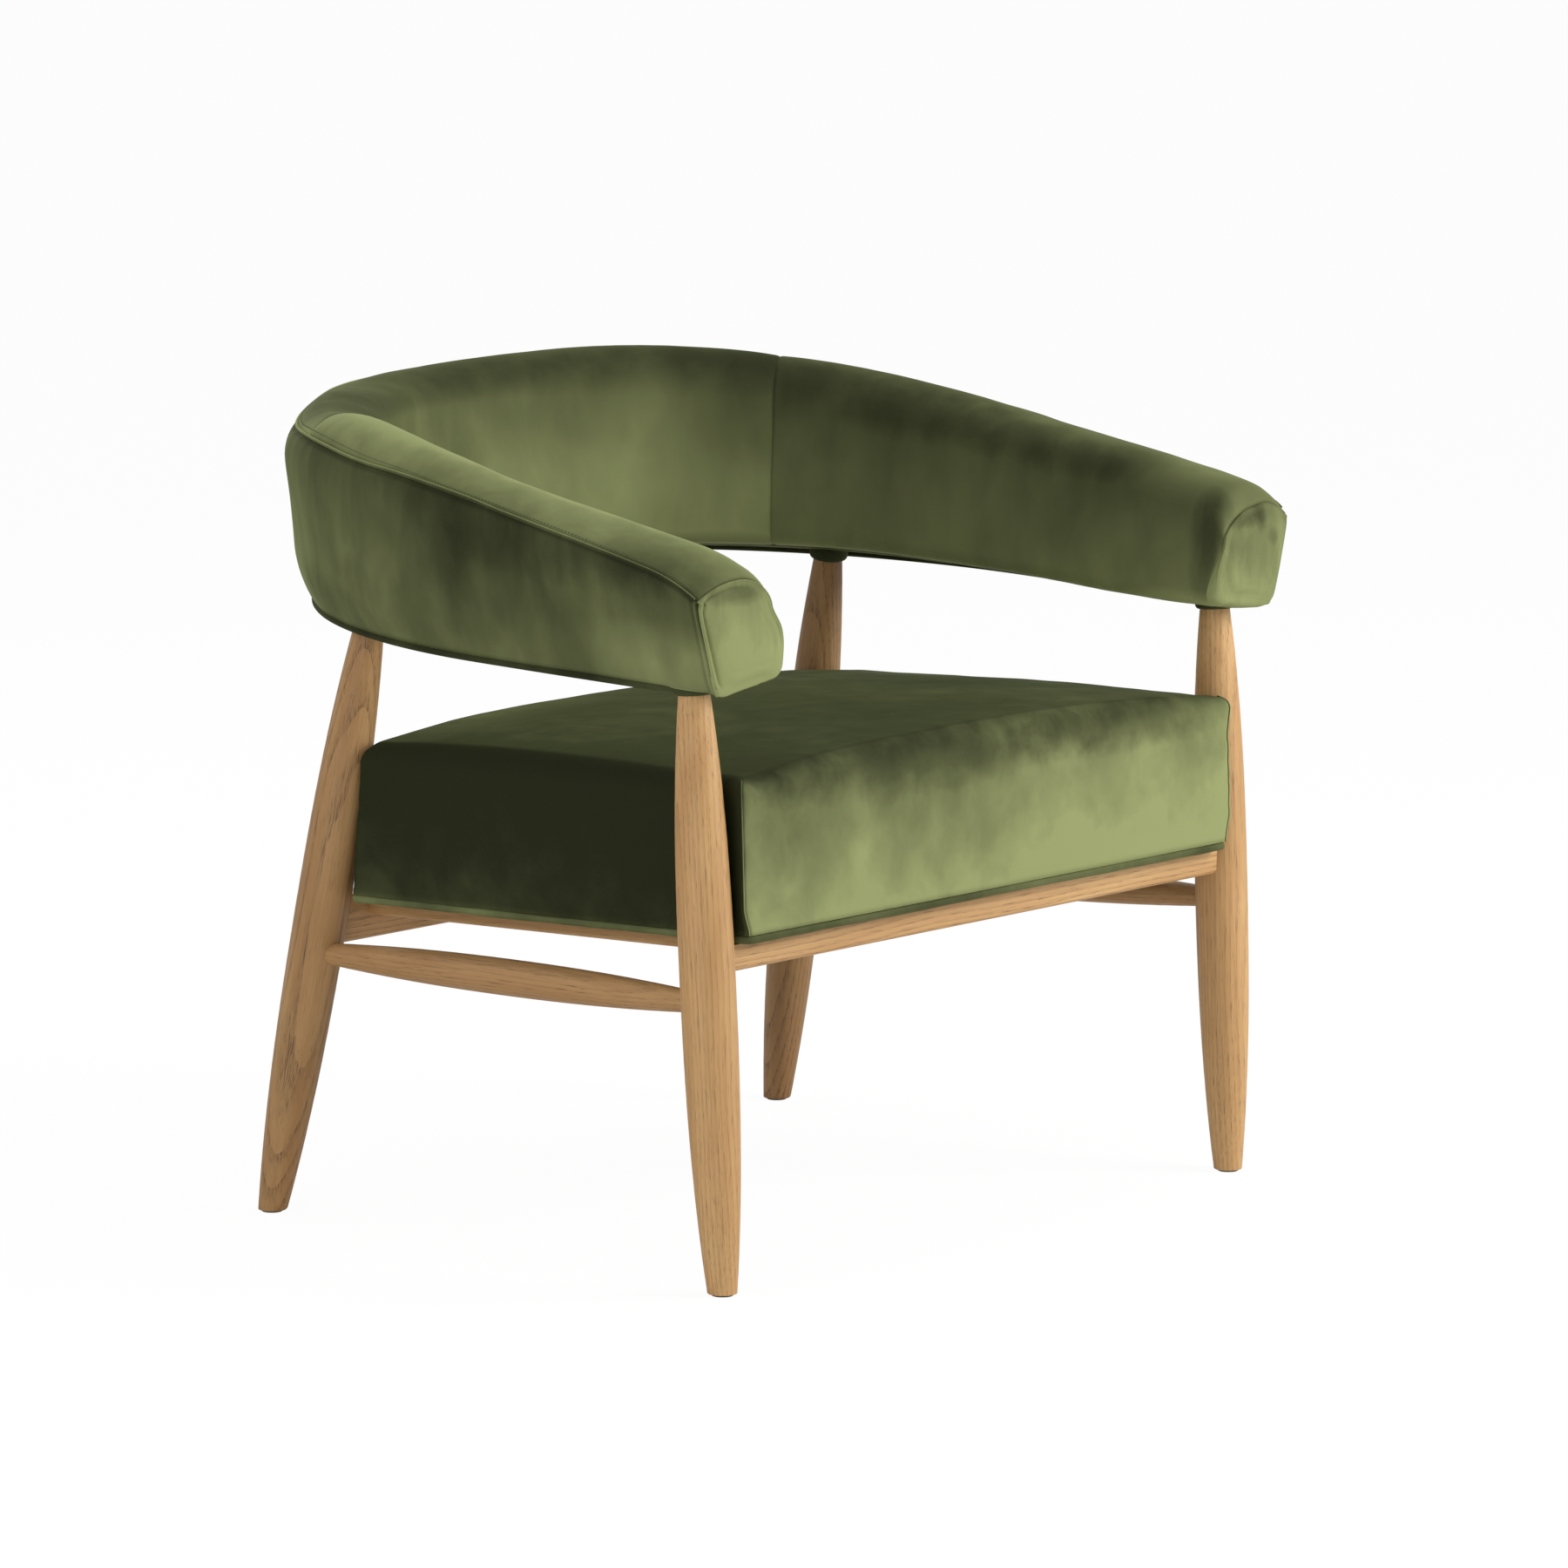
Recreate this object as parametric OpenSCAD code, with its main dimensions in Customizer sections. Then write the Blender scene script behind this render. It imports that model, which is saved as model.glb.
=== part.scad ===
// Club chair: a horseshoe arm and back band on four turned legs, with a thick box seat on wooden rails.
// The front of the chair faces -Y, +Z is up, and z = 0 is the floor under the foot glides.

/* [Band outline] */
// Width over the outsides of the arms
band_w = 830; // [790:2:866]
// Depth from the arm ends to the outside of the back
band_d = 743; // [719:2:779]
// Length of the straight part of each arm
arm_l = 288; // [264:2:320]
// Height of the top seam at the arm ends
seam_front_z = 616; // [606:2:636]
// Height of the top seam in the middle of the back
seam_back_z = 730; // [716:1:756]
// Height of the bottom hem at the arm ends
hem_front_z = 535; // [529:1:541]
// Height of the bottom hem in the middle of the back
hem_back_z = 558; // [550:2:570]

// Height of the inner lower edge at the arm ends
belly_front_z = 537; // [535:1:546]
// Height of the inner lower edge in the middle of the back
belly_back_z = 560; // [548:1:566]

/* [Band padding] */
// How far the outer face leans in at the arm ends, from its widest line to its hem
lean_front = 18; // [12:1:22]
// How far the outer face leans in at the middle of the back
lean_back = 12; // [10:1:20]
// How far the hem curls under at the arm ends
curl_front = 8; // [4:1:12]
// How far the hem curls under at the middle of the back
curl_back = 15; // [10:1:20]
// How far the top seam sits in from the widest line at the middle of the back
seam_in_back = 9; // [4:1:12]
// Distance from the outline to the crown of the padded top at the arm ends
crown_in_front = 56; // [50:1:60]
// Distance from the outline to the crown of the padded top at the middle of the back
crown_in_back = 40; // [34:1:50]
// Height of the crown over the top seam at the arm ends
crown_front = 20; // [9:1:20]
// Height of the crown over the top seam at the middle of the back
crown_back = 18; // [12:1:22]
// How much lower the crown runs along the bends between them
crown_dip = 7; // [0:1:8]
// Distance from the outline to the inner face at its lower edge, the thickness of the band
band_t = 109; // [104:1:116]
// Radius of the inner lower corner
belly_r = 15; // [10:1:18]
// Thickness of the cover with its batting
cover_t = 2.2; // [1.6:0.2:2.6]
// How far the arm end caps are crowned
cap_crown = 4; // [2:1:6]
// Diameter of the piping along the hem
piping_d = 6.4; // [5:0.2:7]
// Diameter of the fine welt on the top seam
seam_welt_d = 2.6; // [2:0.2:3.2]

/* [Band frame] */
// Thickness of the base rail, which the legs enter
base_t = 18; // [15:1:20]
// Width of the base rail
base_w = 52; // [46:1:54]
// Thickness of the top rail
top_rail_t = 16; // [12:1:18]
// Width of the top rail and the posts
post_w = 30; // [26:1:32]
// Thickness of a post along the band
post_t = 22; // [16:1:28]
// Thickness of the bent liners
liner_t = 3; // [2:0.5:4]

/* [Legs] */
// Distance of the front leg's axis from the band's outline, at the top of the leg
front_leg_in = 47; // [44:1:52]
// Distance of the rear leg's axis from the band's outline, at the top of the leg
rear_leg_in = 55; // [48:1:56]
// Distance of the front leg's axis from the arm end, at the top of the leg
front_leg_back = 46; // [42:1:50]
// Place of the rear leg on the bend of the band, in degrees from the side
rear_leg_angle = 27.5; // [22:0.5:34]
// Sideways splay of the front foot from the top of the leg
front_splay_x = -7; // [-12:1:4]
// Forward splay of the front foot from the top of the leg
front_splay_y = -27; // [-40:1:-15]
// Sideways splay of the rear foot from the top of the leg
rear_splay_x = 36; // [26:1:40]
// Backward splay of the rear foot from the top of the leg
rear_splay_y = 98; // [84:1:104]
// Diameter of the leg at its thickest
leg_mid_d = 49; // [44:0.5:52]
// Diameter of the leg at the foot
leg_foot_d = 26; // [23:0.5:30]
// Diameter of the leg under the band
leg_top_d = 28; // [26:0.5:32]
// Height of the thickest place, as a share of the leg
leg_mid_at = 0.525; // [0.45:0.005:0.6]
// Diameter of the tenon on the top of the leg
leg_tenon_d = 22; // [18:1:24]
// Length of that tenon in the base rail
leg_tenon_l = 11; // [8:0.5:12]
// Rounding of the edge of the foot
foot_edge = 2; // [1:0.5:3]
// Thickness of a foot glide under the leg
glide_t = 1.6; // [1.2:0.2:3]
// Diameter of a foot glide
glide_d = 20; // [16:1:21]
// Diameter of the collar where a leg meets the band
collar_d = 37; // [33:1:38]
// Height of that collar
collar_h = 8; // [6:1:10]

/* [Rails and stretchers] */
// Thickness of the rails between the legs
rail_t = 24; // [20:1:28]
// Height of the front rail
front_rail_h = 24; // [22:1:32]
// Height of the rear rail
rear_rail_h = 44; // [36:1:46]
// Height of the underside of the rear rail over the floor
rear_rail_z = 250; // [248:1:254]
// Distance of the side rails' middle from the widest line of the band
side_rail_in = 145; // [135:2:215]
// Width of a side rail
side_rail_w = 30; // [24:1:36]
// Height of a side rail
side_rail_h = 20; // [18:1:24]
// Thickness of a rail tenon
tenon_t = 10; // [8:1:12]
// Length of a rail tenon in the leg
tenon_l = 15; // [12:1:16]
// Diameter of a stretcher in the middle
stretcher_mid_d = 33; // [28:0.5:36]
// Diameter of a stretcher where it meets the leg
stretcher_end_d = 20; // [17:0.5:22]
// Diameter of the round tenon of a stretcher
stretcher_tenon_d = 14; // [12:0.5:15]
// Height of the stretcher on the front leg
stretcher_front_z = 257; // [240:1:268]
// Height of the stretcher on the rear leg
stretcher_rear_z = 243; // [234:1:244]
// Length of each leg of a corner block
block_l = 46; // [36:1:54]
// Height of a corner block
block_h = 18; // [14:1:20]
// Diameter of the dowels between the rails
dowel_d = 8; // [6:1:10]
// Length of those dowels
dowel_l = 30; // [24:1:32]

/* [Seat] */
// Height of the underside of the seat at its front edge
seat_base_z = 308; // [304:1:316]
// Slope of the seat down to the back, in degrees
seat_tilt = 1.8; // [0:0.1:3]
// How far the front of the seat stands proud of the front legs
seat_proud = 3.5; // [0:0.5:6]
// Height of the seat at its corners
seat_h = 142; // [124:1:150]
// How much thicker the seat is at its back corners
seat_back_more = 1; // [0:1:12]
// How much further back the seat reaches at its underside than at its top
seat_rake = 14; // [0:1:16]
// Crown of the seat along its front and back edges
seat_crown_x = 17; // [6:1:18]
// Crown of the seat along its side edges
seat_crown_y = 5; // [4:1:12]
// Fullness of the seat's faces between the corners
seat_full = 3; // [0:0.5:4]
// Radius of the seat's upper edge
seat_edge_r = 15; // [10:1:20]
// Radius of the seat's upright corners
seat_corner_r = 11; // [8:1:20]
// Diameter of the welt under the seat
seat_welt_d = 7; // [5:0.5:8]
// Thickness of the seat platform
platform_t = 15; // [12:1:18]
// Width of the platform's border round its opening
platform_border = 70; // [60:2:90]
// Width of a webbing strap
strap_w = 50; // [40:2:60]
// Number of straps across the seat
straps_across = 4; // [3:1:5]
// Number of straps from front to back
straps_along = 6; // [4:1:7]
// Thickness of a strap
strap_t = 1.6; // [1.2:0.2:2]

/* [Fasteners] */
// Diameter of the shank of a screw
screw_d = 5; // [4:0.5:6]
// Diameter of the head of a screw
screw_head_d = 10; // [8:0.5:11]
// Length of the screws that hold the band to the legs
leg_screw_l = 70; // [50:5:80]
// Length of the screws that hold the seat to the side rails
seat_screw_l = 32; // [28:1:34]
// Length of the screws in the corner blocks
block_screw_l = 30; // [24:1:36]

/* [Hidden] */

ASH = "#b5854f";
PLYWOOD = "#c9a877";
VELVET = "#5f6e39";
VELVET_DARK = "#3c4726";
FOAM = "#e6d9a8";
STEEL = "#9a9da0";
LINEN = "#c8bfa8";
BLACK = "#222222";
RUBBER = "#4a4a48";

// General clearance between pieces that lie against each other
gap = 0.3;
// Clearance between a cover and the foam under it
batting_gap = 0.7;
// Clearance of a tenon or dowel in its hole, all round
fit = 0.1;
// Length that a cutting shape runs on past what it cuts
past = 1;
// Half the side of a cutting block that is larger than the chair
far = 1000;

function mix(a, b, t) = a + (b - a) * t;
function unit(v) = v / norm(v);
function clamp(t) = min(max(t, 0), 1);

// The band in plan: straight arms and half an ellipse
half_w = band_w / 2;
side_rail_x = half_w - side_rail_in;
back_y = band_d / 2;
arm_y = -band_d / 2 + cap_crown + cover_t + gap;
bend_y = arm_y + arm_l;
bend_d = back_y - bend_y;
bend_l = 180 * half_w * PI / 180;
path_l = 2 * arm_l + bend_l;

// A place on the outline at the path length p, from the right arm end: [x, y, outward x, outward y]
function outline_at(p) =
    p <= arm_l ? [half_w, arm_y + p, 1, 0] :
    p >= path_l - arm_l ? [-half_w, arm_y + path_l - p, -1, 0] :
    let (t = (p - arm_l) / bend_l * 180, n = unit([cos(t) / half_w, sin(t) / bend_d]))
    [half_w * cos(t), bend_y + bend_d * sin(t), n.x, n.y];
function plan_at(p, inward) = let (o = outline_at(p)) [o[0] - inward * o[2], o[1] - inward * o[3]];

// Heights that follow the distance from the arm ends to the back
end_drop = 10;
end_drop_l = 60;
seam_curve = 1.7;
hem_curve = 1.3;
belly_curve = 1.4;
function depth_share(y) = clamp((y - arm_y) / (back_y - arm_y));
function hem_z(y) = mix(hem_front_z, hem_back_z, pow(depth_share(y), hem_curve));
function belly_z(y) = mix(belly_front_z, belly_back_z, pow(sin(90 * depth_share(y)), belly_curve));
function seam_z(y) =
    seam_front_z + end_drop * (1 - pow(1 - clamp((y - arm_y) / end_drop_l), 2))
    + (seam_back_z - seam_front_z - end_drop) * (1 - pow(1 - depth_share(y), seam_curve));

// The padded section across the band, as [inward, z] from the hem up the outer face, over and back
widest_at = 0.8;
curl_at = 0.3;
roll_in_front = 98;
roll_in_back = 92;
roll_h_front = 31;
roll_h_back = 41;
belly_full = 3;
belly_ease = 0.3;
under_full = 1.5;
FACE_STEPS = [0, 0.1, 0.25, 0.5, 0.8, 0.9];
TOP_STEPS = [0, 0.3, 0.65, 1];
ROLL_STEPS = [30, 60, 90];
outer_n = len(FACE_STEPS);
top_n = len(TOP_STEPS) + len(ROLL_STEPS) + 2;
function hem_in(s) = mix(lean_front + curl_front, lean_back + curl_back, s);
function section(p) =
    let (
        y = outline_at(p)[1],
        s = depth_share(y),
        low = hem_z(y),
        high = seam_z(y),
        seam_in = seam_in_back * s,
        crown_h = mix(crown_front, crown_back, s) - crown_dip * 4 * s * (1 - s),
        crown_in = mix(crown_in_front, crown_in_back, s),
        roll_in = mix(roll_in_front, roll_in_back, s),
        roll_h = mix(roll_h_front, roll_h_back, s),
        roll_low = high + crown_h - roll_h,
        belly = belly_z(y),
        belly_top = belly + belly_r
    )
    concat(
        [for (t = FACE_STEPS) [
            mix(lean_front, lean_back, s) * max(0, 1 - t / widest_at)
            + mix(curl_front, curl_back, s) * pow(max(0, 1 - t / curl_at), 2)
            + seam_in * pow(max(0, (t - widest_at) / (1 - widest_at)), 2),
            mix(low, high, t)]],
        [for (t = TOP_STEPS) [mix(seam_in, crown_in, t), high + crown_h * (1 - pow(1 - t, 2))]],
        [for (g = ROLL_STEPS) [mix(crown_in, roll_in, sin(g)), high + crown_h - roll_h * (1 - cos(g))]],
        [[mix(roll_in, band_t, 0.5) + belly_full, mix(roll_low, belly_top, 0.5)], [band_t, belly_top]],
        [[band_t - belly_r * belly_ease, belly + belly_r * belly_ease], [band_t - belly_r, belly]],
        [[mix(hem_in(s), band_t - belly_r, 0.5), mix(low, belly, 0.5) - under_full]]
    );

// The same loop drawn in by a thickness, square to its own edges, with a limit at tight corners
mitre_limit = 0.6;
function inset_loop(loop, d) =
    [for (i = [0 : len(loop) - 1]) let (
        n = len(loop),
        e1 = unit(loop[i] - loop[(i + n - 1) % n]),
        e2 = unit(loop[(i + 1) % n] - loop[i]),
        m = unit(e1 + e2),
        k = max(mitre_limit, m * e1)
    ) loop[i] + d / k * [m.y, -m.x]];

// Places along the band where its section is drawn, with one at each upright seam of the inside
seam_angle = 35;
seam_p = arm_l + bend_l * seam_angle / 180;
ARM_STEPS = [0, 0.05, 0.14, 0.32, 0.56, 0.8];
SIDE_BEND_SPANS = 4;
BACK_BEND_SPANS = 12;
HALF_STATIONS = concat(
    [for (f = ARM_STEPS) f * arm_l],
    [for (i = [0 : SIDE_BEND_SPANS - 1]) mix(arm_l, seam_p, i / SIDE_BEND_SPANS)],
    [for (i = [0 : BACK_BEND_SPANS / 2]) mix(seam_p, path_l / 2, i / BACK_BEND_SPANS * 2)]
);
STATIONS = concat(HALF_STATIONS, [for (i = [len(HALF_STATIONS) - 2 : -1 : 0]) path_l - HALF_STATIONS[i]]);
function on_band(p, q) = let (b = plan_at(p, q[0])) [b.x, b.y, q[1]];

// Solid through a row of closed rings with equal counts of points
module loft(rings) {
    n = len(rings[0]);
    m = len(rings);
    sides = [for (j = [0 : m - 2], i = [0 : n - 1]) let (
        a = j * n + i, b = j * n + (i + 1) % n, c = a + n, d = b + n
    ) each [[a, b, d], [a, d, c]]];
    first = [[for (i = [0 : n - 1]) n - 1 - i]];
    last = [[for (i = [0 : n - 1]) (m - 1) * n + i]];
    polyhedron(points = [for (r = rings) each r], faces = concat(sides, first, last));
}

// Closed tube that returns to its first ring
module loft_loop(rings) {
    n = len(rings[0]);
    m = len(rings);
    polyhedron(points = [for (r = rings) each r], faces = [for (j = [0 : m - 1], i = [0 : n - 1]) let (
        k = (j + 1) % m, a = j * n + i, b = j * n + (i + 1) % n, c = k * n + i, d = k * n + (i + 1) % n
    ) each [[a, b, d], [a, d, c]]]);
}

// Strip of the cover between two corners of the section, from path length p0 to p1
function strip(loop, from, to) =
    let (inner = inset_loop(loop, cover_t), n = len(loop))
    concat([for (i = [from : to]) loop[i % n]], [for (i = [to : -1 : from]) inner[i % n]]);
function trimmed(outer, cut) =
    let (n = len(outer) / 2, f1 = unit(outer[1] - outer[0]) * cut, f2 = unit(outer[n - 2] - outer[n - 1]) * cut)
    [for (i = [0 : 2 * n - 1]) outer[i] + (i == 0 || i == 2 * n - 1 ? f1 : (i == n - 1 || i == n ? f2 : [0, 0]))];
module cover_strip(from, to, p0 = 0, p1 = path_l) {
    spots = [for (p = STATIONS) if (p > p0 + past && p < p1 - past) p];
    loft([for (p = concat([p0], spots, [p1]))
        [for (q = trimmed(strip(section(p), from, to), gap / 2)) on_band(p, q)]]);
}

// The band's foam
module band_foam() {
    color(FOAM) difference() {
        loft([for (p = concat([gap], [for (q = STATIONS) if (q > gap && q < path_l - gap) q], [path_l - gap]))
            [for (q = inset_loop(section(p), cover_t + batting_gap)) on_band(p, q)]]);
        frame_room();
        leg_holes(collar_d / 2 + gap);
    }
}

// Room in the foam for the frame, which stops short of the arm ends
frame_end = 12;
frame_lift = 16;
base_in = 30;
post_in = base_in + (base_w - post_w) / 2;
function base_low(y) = hem_z(y) + frame_lift;
function base_top(y) = base_low(y) + base_t;
rail_sink = 14;
function rail_top(y) = seam_z(y) - rail_sink;
function rail_low(y) = rail_top(y) - top_rail_t;
liner_in = post_in + post_w + gap;
liner_out = post_in - gap - liner_t;
room_gap = 0.8;
module frame_room() {
    loft([for (p = concat([frame_end - gap], [for (q = STATIONS) if (q > frame_end && q < path_l - frame_end) q],
            [path_l - frame_end + gap]))
        [for (c = [[base_in - gap, 0], [base_in - gap, 1], [liner_out - gap, 1], [liner_out - gap, 2],
                [liner_in + liner_t + gap, 2], [liner_in + liner_t + gap, 1], [base_in + base_w + gap, 1],
                [base_in + base_w + gap, 0]])
            let (b = plan_at(p, c[0]))
            [b.x, b.y, c[1] == 0 ? base_low(b.y) - room_gap : c[1] == 1 ? base_top(b.y) + room_gap :
                rail_top(b.y) + room_gap]]]);
}

// Flat horseshoe between two distances from the outline
module horseshoe(inward, outward, ends) {
    steps = concat([ends], [for (p = STATIONS) if (p > ends + past && p < path_l - ends - past) p], [path_l - ends]);
    polygon(concat([for (p = steps) plan_at(p, outward)],
        [for (i = [len(steps) - 1 : -1 : 0]) plan_at(steps[i], inward)]));
}

// Wall that runs across the whole chair between two height lines, which are functions of y
function side_ys() = [for (p = HALF_STATIONS) outline_at(p)[1]];
module side_wall(lower, upper) {
    ys = side_ys();
    rotate([90, 0, 90]) translate([0, 0, -far]) linear_extrude(2 * far)
        polygon(concat([for (i = [0 : len(ys) - 1]) [ys[i], lower[i]]],
            [for (i = [len(ys) - 1 : -1 : 0]) [ys[i], upper[i]]]));
}
module framed(inward, outward, ends, lower, upper) {
    intersection() {
        translate([0, 0, hem_front_z]) linear_extrude(seam_back_z - hem_front_z) horseshoe(inward, outward, ends);
        side_wall(lower, upper);
    }
}

module band_base() {
    color(PLYWOOD) difference() {
        framed(base_in, base_in + base_w, frame_end,
            [for (y = side_ys()) base_low(y)], [for (y = side_ys()) base_top(y)]);
        for (side = [-1, 1], ends = LEG_ENDS) on_side(side) along(ends[0], ends[1])
            translate([0, 0, norm(ends[1] - ends[0]) - base_t]) {
                cylinder(r = leg_top_d / 2 + fit, h = base_t + fit, $fn = 64);
                cylinder(r = leg_tenon_d / 2 + fit, h = base_t + leg_tenon_l + fit, $fn = 64);
                cylinder(r = screw_d / 2 + fit, h = 3 * base_t, $fn = 32);
                translate([0, 0, 2 * base_t - head_h - fit])
                    cylinder(r = screw_head_d / 2 + gap, h = base_t, $fn = 32);
            }
    }
}
module band_top_rail() {
    color(PLYWOOD) framed(post_in, post_in + post_w, frame_end,
        [for (y = side_ys()) rail_low(y)], [for (y = side_ys()) rail_top(y)]);
}
module band_inner_liner() {
    color(PLYWOOD) framed(liner_in, liner_in + liner_t, frame_end,
        [for (y = side_ys()) base_top(y) + fit], [for (y = side_ys()) rail_top(y)]);
}
module band_outer_liner() {
    color(PLYWOOD) framed(liner_out, liner_out + liner_t, frame_end,
        [for (y = side_ys()) base_top(y) + fit], [for (y = side_ys()) rail_top(y)]);
}

// Upright posts between the base rail and the top rail, at some of the places where the section is drawn
POST_STATIONS = [3, 6, 11, 13];
POST_PLACES = concat([for (i = POST_STATIONS) each [STATIONS[i], path_l - STATIONS[i]]], [path_l / 2]);
// Room for the bend of the liners beside a straight post
post_ease = 0.8;
module band_posts() {
    color(PLYWOOD) intersection() {
        union() for (p = POST_PLACES) {
            o = outline_at(p);
            b = plan_at(p, post_in + post_w / 2);
            translate([b.x, b.y, 0]) rotate([0, 0, atan2(o[3], o[2])])
                translate([-post_w / 2 + post_ease, -post_t / 2, 0]) cube([post_w - 2 * post_ease, post_t, seam_back_z]);
        }
        side_wall([for (y = side_ys()) base_top(y) + fit], [for (y = side_ys()) rail_low(y) - fit]);
    }
}

// The band's covers: outer face, three joined panels over the top and the inside, and the underside
top_first = outer_n;
top_last = outer_n + top_n;
section_n = outer_n + top_n + 3;
module band_cover_outer() {
    color(VELVET) cover_strip(0, outer_n);
}
module band_cover_back() {
    color(VELVET) cover_strip(top_first, top_last, seam_p + gap / 2, path_l - seam_p - gap / 2);
}
module band_side_cover() {
    cover_strip(top_first, top_last, 0, seam_p - gap / 2);
}
module band_cover_right() {
    color(VELVET) band_side_cover();
}
module band_cover_left() {
    color(VELVET) mirror([1, 0, 0]) band_side_cover();
}
module band_cover_under() {
    color(VELVET_DARK) difference() {
        cover_strip(top_last, section_n);
        leg_holes(collar_d / 2 + gap);
    }
}

// Crowned panel over an arm end
CAP_RINGS = [[1, 0], [0.86, 0.55], [0.6, 0.9], [0.25, 1]];
cap_mid_in = 0.45;
cap_mid_up = 0.5;
module arm_cap() {
    loop = section(0);
    mid = [mix(hem_in(0), band_t, cap_mid_in), mix(hem_front_z, seam_front_z, cap_mid_up)];
    face = [for (c = CAP_RINGS) [for (q = loop) [mid[0] + (q[0] - mid[0]) * c[0], -cover_t - cap_crown * c[1],
        mid[1] + (q[1] - mid[1]) * c[0]]]];
    back = [for (i = [len(face) - 1 : -1 : 0]) [for (q = face[i]) q + [0, cover_t, 0]]];
    loft_solid(concat(back, face));
}
// Solid between a crowned back and a crowned front that share their rim
module loft_solid(rings) {
    translate([half_w, arm_y - gap, 0]) mirror([1, 0, 0]) loft(rings);
}
module arm_cap_right() {
    color(VELVET) arm_cap();
}
module arm_cap_left() {
    color(VELVET) mirror([1, 0, 0]) arm_cap();
}

// Tube along the band beside one corner of the section
TUBE_SIDES = 6;
module band_tube(shift_in, shift_z, d, corner) {
    loft([for (p = STATIONS) let (q = section(p)[corner])
        [for (i = [TUBE_SIDES - 1 : -1 : 0]) let (g = 360 * i / TUBE_SIDES)
            on_band(p, q + [shift_in + d / 2 * cos(g), shift_z + d / 2 * sin(g)])]]);
}
// The piping hangs under the hem, a little outside it
piping_out = 1;
module band_piping() {
    color(VELVET_DARK) band_tube(-piping_out, -piping_d / 2 - gap, piping_d, 0);
}
module band_seam_welt() {
    s = seam_welt_d / 2 + gap;
    color(VELVET) band_tube(-s * cos(60), s * sin(60), seam_welt_d, outer_n);
}

// Leg axes: top points on the underside of the base rail, which is spot-faced square to them, and feet on the floor
FRONT_P = front_leg_back;
REAR_P = arm_l + bend_l * rear_leg_angle / 180;
FRONT_XY = plan_at(FRONT_P, front_leg_in);
REAR_XY = plan_at(REAR_P, rear_leg_in);
FRONT_TOP = [FRONT_XY.x, FRONT_XY.y, base_low(FRONT_XY.y)];
REAR_TOP = [REAR_XY.x, REAR_XY.y, base_low(REAR_XY.y)];
FRONT_FOOT = [FRONT_TOP.x + front_splay_x, FRONT_TOP.y + front_splay_y, 0];
REAR_FOOT = [REAR_TOP.x + rear_splay_x, REAR_TOP.y + rear_splay_y, 0];
function axis_at(foot, top, z) = foot + (top - foot) * z / top.z;
module along(foot, top) {
    v = top - foot;
    translate(foot) rotate([0, acos(v.z / norm(v)), atan2(v.y, v.x)]) children();
}
module on_side(side) {
    mirror([side > 0 ? 0 : 1, 0, 0]) children();
}
LEG_ENDS = [[FRONT_FOOT, FRONT_TOP], [REAR_FOOT, REAR_TOP]];
// Holes through the padding, which reach as far below the base rail's underside as above it
hole_reach = 56;
module leg_holes(r) {
    for (side = [-1, 1], ends = LEG_ENDS) on_side(side) along(ends[0], ends[1])
        translate([0, 0, norm(ends[1] - ends[0]) - hole_reach]) cylinder(r = r, h = 2 * hole_reach, $fn = 64);
}

// Turned outline of a leg: its swell falls off to the foot and to the top by a power of the distance
leg_power = 2.5;
LEG_SPANS = 28;
// Where the turned surface starts round the leg, in degrees, clear of the mortises
turn_start = 130;
function leg_r(t) =
    let (mid = leg_mid_d / 2)
    t < leg_mid_at ? mid - (mid - leg_foot_d / 2) * pow((leg_mid_at - t) / leg_mid_at, leg_power)
    : mid - (mid - leg_top_d / 2) * pow((t - leg_mid_at) / (1 - leg_mid_at), leg_power);
module leg_turning(foot, top, more = 0) {
    full = norm(top - foot);
    seen = full - frame_lift - collar_h;
    along(foot, top) rotate([0, 0, turn_start]) rotate_extrude($fn = 72) polygon(concat(
        [[0, -leg_foot_d / 2], [leg_foot_d / 2 + more, -leg_foot_d / 2]],
        [for (i = [0 : LEG_SPANS]) [leg_r(i / LEG_SPANS) + more, seen * i / LEG_SPANS]],
        [[leg_top_d / 2 + more, full], [0, full]]));
}
module leg(foot, top, rail_low, rail_high, stretcher_z, far_point) {
    color(ASH) difference() {
        union() {
            leg_turning(foot, top);
            along(foot, top) translate([0, 0, norm(top - foot) - collar_h])
                cylinder(d = leg_tenon_d, h = leg_tenon_l + collar_h, $fn = 64);
        }
        translate([-far, -far, glide_t - 2 * far]) cube([2 * far, 2 * far, 2 * far]);
        foot_rounding(foot, top);
        translate([foot.x, foot.y, 0]) cylinder(d = nail_d + 2 * fit, h = glide_t + nail_l + past, $fn = 24);
        rail_mortise(foot, top, rail_low, rail_high);
        stretcher_hole(foot, top, stretcher_z, far_point);
        along(foot, top) translate([0, 0, norm(top - foot) + base_t - head_h - leg_screw_l - fit])
            cylinder(d = screw_d + 2 * fit, h = leg_screw_l, $fn = 32);
    }
}
// Ring that rounds off the edge of the level foot
module foot_rounding(foot, top) {
    at = axis_at(foot, top, glide_t);
    r = leg_foot_d / 2;
    translate(at) rotate_extrude($fn = 72) polygon(concat(
        [[r - foot_edge, -past], [r + leg_foot_d, -past], [r + leg_foot_d, foot_edge]],
        [for (g = [0 : 15 : 90]) [r + slope_r - foot_edge + foot_edge * cos(g), foot_edge - foot_edge * sin(g)]]));
}
slope_r = 0.6;
module rail_mortise(foot, top, low, high) {
    mid = axis_at(foot, top, (low + high) / 2);
    reach = leg_mid_d / 2;
    translate([mid.x - reach - past, mid.y - tenon_t / 2 - fit, low + tenon_edge - fit])
        cube([tenon_l + past + fit, tenon_t + 2 * fit, high - low - 2 * tenon_edge + 2 * fit]);
}
tenon_edge = 4;
nail_d = 3;
nail_l = 14;

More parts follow.
